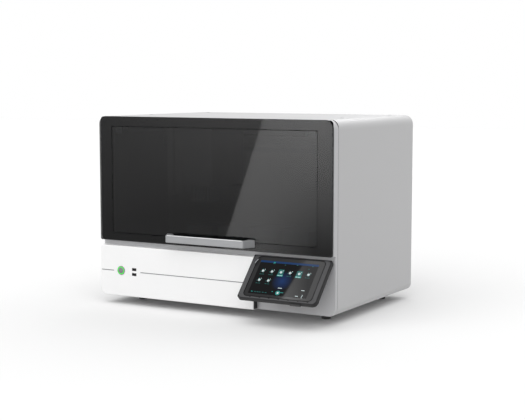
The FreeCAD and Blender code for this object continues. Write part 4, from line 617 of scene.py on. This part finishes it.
# stage: floor, white surroundings, two soft suns and cards that only gloss sees
stageLight = {
    "floorTone": "#C4C4C4",  # what the paper throws back on the part
    "floorShown": "#EFEFEF",  # what the camera sees of it
    "floorHalf": 12,
    "ambient": 0.72,
    "frontSun": {"from": (0.0, -0.68, 0.73), "power": 1.6, "spread": 85},
    "rearSun": {"from": (0.12, 0.62, 0.78), "power": 0.4, "spread": 60},
    # a card glows by level + rise times its second coordinate; both change from its left end to its right end
    "doorCard": {
        "corners": ((-0.5893, -1.2, 0.0), (-0.1, -1.2, 0.0), (-0.1, -1.2, 0.62), (-0.363, -1.2, 0.62)),
        "along": "Z", "ends": (-0.41, -0.2), "level": (2.9, 0.6), "rise": (4.2, 11.0), "least": 1.0, "most": 6.2,
    },
    "farCard": {
        "corners": ((-1.4, -1.22, 0.0), (-0.1, -1.22, 0.0), (-0.1, -1.22, 0.62), (-1.4, -1.22, 0.62)),
        "along": "Z", "ends": (-1.11, -0.5), "level": (0.77, 0.2), "rise": (1.3, 4.1), "least": 0.85, "most": 3.0,
    },
    "edgeCard": {
        "corners": ((-0.3, 1.4, 1.15), (1.0, 1.4, 1.15), (1.0, 1.4, 1.7), (-0.3, 1.4, 1.7)),
        "along": "Z", "ends": (0.0, 0.9), "level": (4.8, 2.0), "rise": (0.0, 0.0), "least": 2.0, "most": 4.8,
    },
    "tabletCard": {
        "corners": ((-0.321, -0.62, 1.025), (0.1, -0.62, 1.025), (0.1, -0.35, 1.025), (-0.138, -0.35, 1.025)),
        "along": "Y", "ends": (-0.27, -0.17), "level": (9.5, 4.0), "rise": (0.0, 0.0), "least": 1.0, "most": 9.5,
    },
}


def addSun(name, settings):
    data = bpy.data.lights.new(name, "SUN")
    data.energy = settings["power"]
    data.angle = math.radians(settings["spread"])
    lamp = bpy.data.objects.new(name, data)
    lamp.rotation_euler = (-Vector(settings["from"])).to_track_quat("-Z", "Y").to_euler()
    lamp.visible_glossy = False
    bpy.context.scene.collection.objects.link(lamp)


def addCard(name, settings):
    shape = bmesh.new()
    shape.faces.new([shape.verts.new(corner) for corner in settings["corners"]])
    mesh = bpy.data.meshes.new(name)
    shape.to_mesh(mesh)
    shape.free()
    card = bpy.data.objects.new(name, mesh)
    bpy.context.scene.collection.objects.link(card)
    finish = bpy.data.materials.new(name + "Light")
    finish.use_nodes = True
    tree = finish.node_tree
    tree.nodes.clear()
    place = addNode(tree, "ShaderNodeTexCoord")
    split = addNode(tree, "ShaderNodeSeparateXYZ", {}, {"Vector": place.outputs["Object"]})
    left, right = settings["ends"]
    parts = []
    for key in ("rise", "level"):
        low, high = settings[key]
        parts.append(addNode(tree, "ShaderNodeMapRange", {"From Min": left, "From Max": right, "To Min": low,
                                                          "To Max": high}, {"Value": split.outputs["X"]}))
    level = addNode(tree, "ShaderNodeMath", {}, {0: parts[0].outputs[0], 1: split.outputs[settings["along"]],
                                                 2: parts[1].outputs[0]}, operation="MULTIPLY_ADD")
    held = addNode(tree, "ShaderNodeClamp", {"Min": settings["least"], "Max": settings["most"]},
                   {"Value": level.outputs[0]})
    glow = addNode(tree, "ShaderNodeEmission", {"Color": (1, 1, 1, 1)}, {"Strength": held.outputs[0]})
    addNode(tree, "ShaderNodeOutputMaterial", {}, {"Surface": glow.outputs[0]})
    mesh.materials.append(finish)
    for sight in ("visible_camera", "visible_diffuse", "visible_transmission", "visible_shadow",
                  "visible_volume_scatter"):
        setattr(card, sight, False)


def makeFloor():
    shape = bmesh.new()
    bmesh.ops.create_grid(shape, x_segments=1, y_segments=1, size=stageLight["floorHalf"])
    mesh = bpy.data.meshes.new("studioFloor")
    shape.to_mesh(mesh)
    shape.free()
    floor = bpy.data.objects.new("studioFloor", mesh)
    bpy.context.scene.collection.objects.link(floor)
    paper = newFinish("seamlessPaper", stageLight["floorTone"], 1.0, Specular_IOR_Level=0.0)
    tree = paper.node_tree
    rays = addNode(tree, "ShaderNodeLightPath")
    tones = {6: toLinear(stageLight["floorTone"]), 7: toLinear(stageLight["floorShown"])}
    tone = addNode(tree, "ShaderNodeMix", tones, {"Factor": rays.outputs["Is Camera Ray"]}, data_type="RGBA")
    tree.links.new(tone.outputs[2], tree.nodes["Principled BSDF"].inputs["Base Color"])
    seen = addNode(tree, "ShaderNodeMath", {}, {0: rays.outputs["Is Glossy Ray"],
                                               1: rays.outputs["Is Transmission Ray"]}, operation="MAXIMUM")
    white = addNode(tree, "ShaderNodeEmission", {"Color": (1, 1, 1, 1), "Strength": 1.0})
    mixed = addNode(tree, "ShaderNodeMixShader", {}, {0: seen.outputs[0],
                                                      1: tree.nodes["Principled BSDF"].outputs[0],
                                                      2: white.outputs[0]})
    tree.links.new(mixed.outputs[0], tree.nodes["Material Output"].inputs["Surface"])
    mesh.materials.append(paper)


def makeWorld():
    world = bpy.data.worlds.new("studioWhite")
    world.use_nodes = True
    tree = world.node_tree
    ground = tree.nodes["Background"]
    rays = addNode(tree, "ShaderNodeLightPath")
    first = addNode(tree, "ShaderNodeMath", {}, {0: rays.outputs["Is Camera Ray"], 1: rays.outputs["Is Glossy Ray"]},
                    operation="MAXIMUM")
    seen = addNode(tree, "ShaderNodeMath", {}, {0: first.outputs[0], 1: rays.outputs["Is Transmission Ray"]},
                   operation="MAXIMUM")
    level = addNode(tree, "ShaderNodeMapRange", {"To Min": stageLight["ambient"], "To Max": 1.0},
                    {"Value": seen.outputs[0]})
    ground.inputs["Color"].default_value = (1, 1, 1, 1)
    tree.links.new(level.outputs["Result"], ground.inputs["Strength"])
    bpy.context.scene.world = world


addSun("frontSun", stageLight["frontSun"])
addSun("rearSun", stageLight["rearSun"])
addCard("doorCard", stageLight["doorCard"])
addCard("farCard", stageLight["farCard"])
addCard("tabletCard", stageLight["tabletCard"])
addCard("edgeCard", stageLight["edgeCard"])
makeFloor()
makeWorld()
print("stage made")
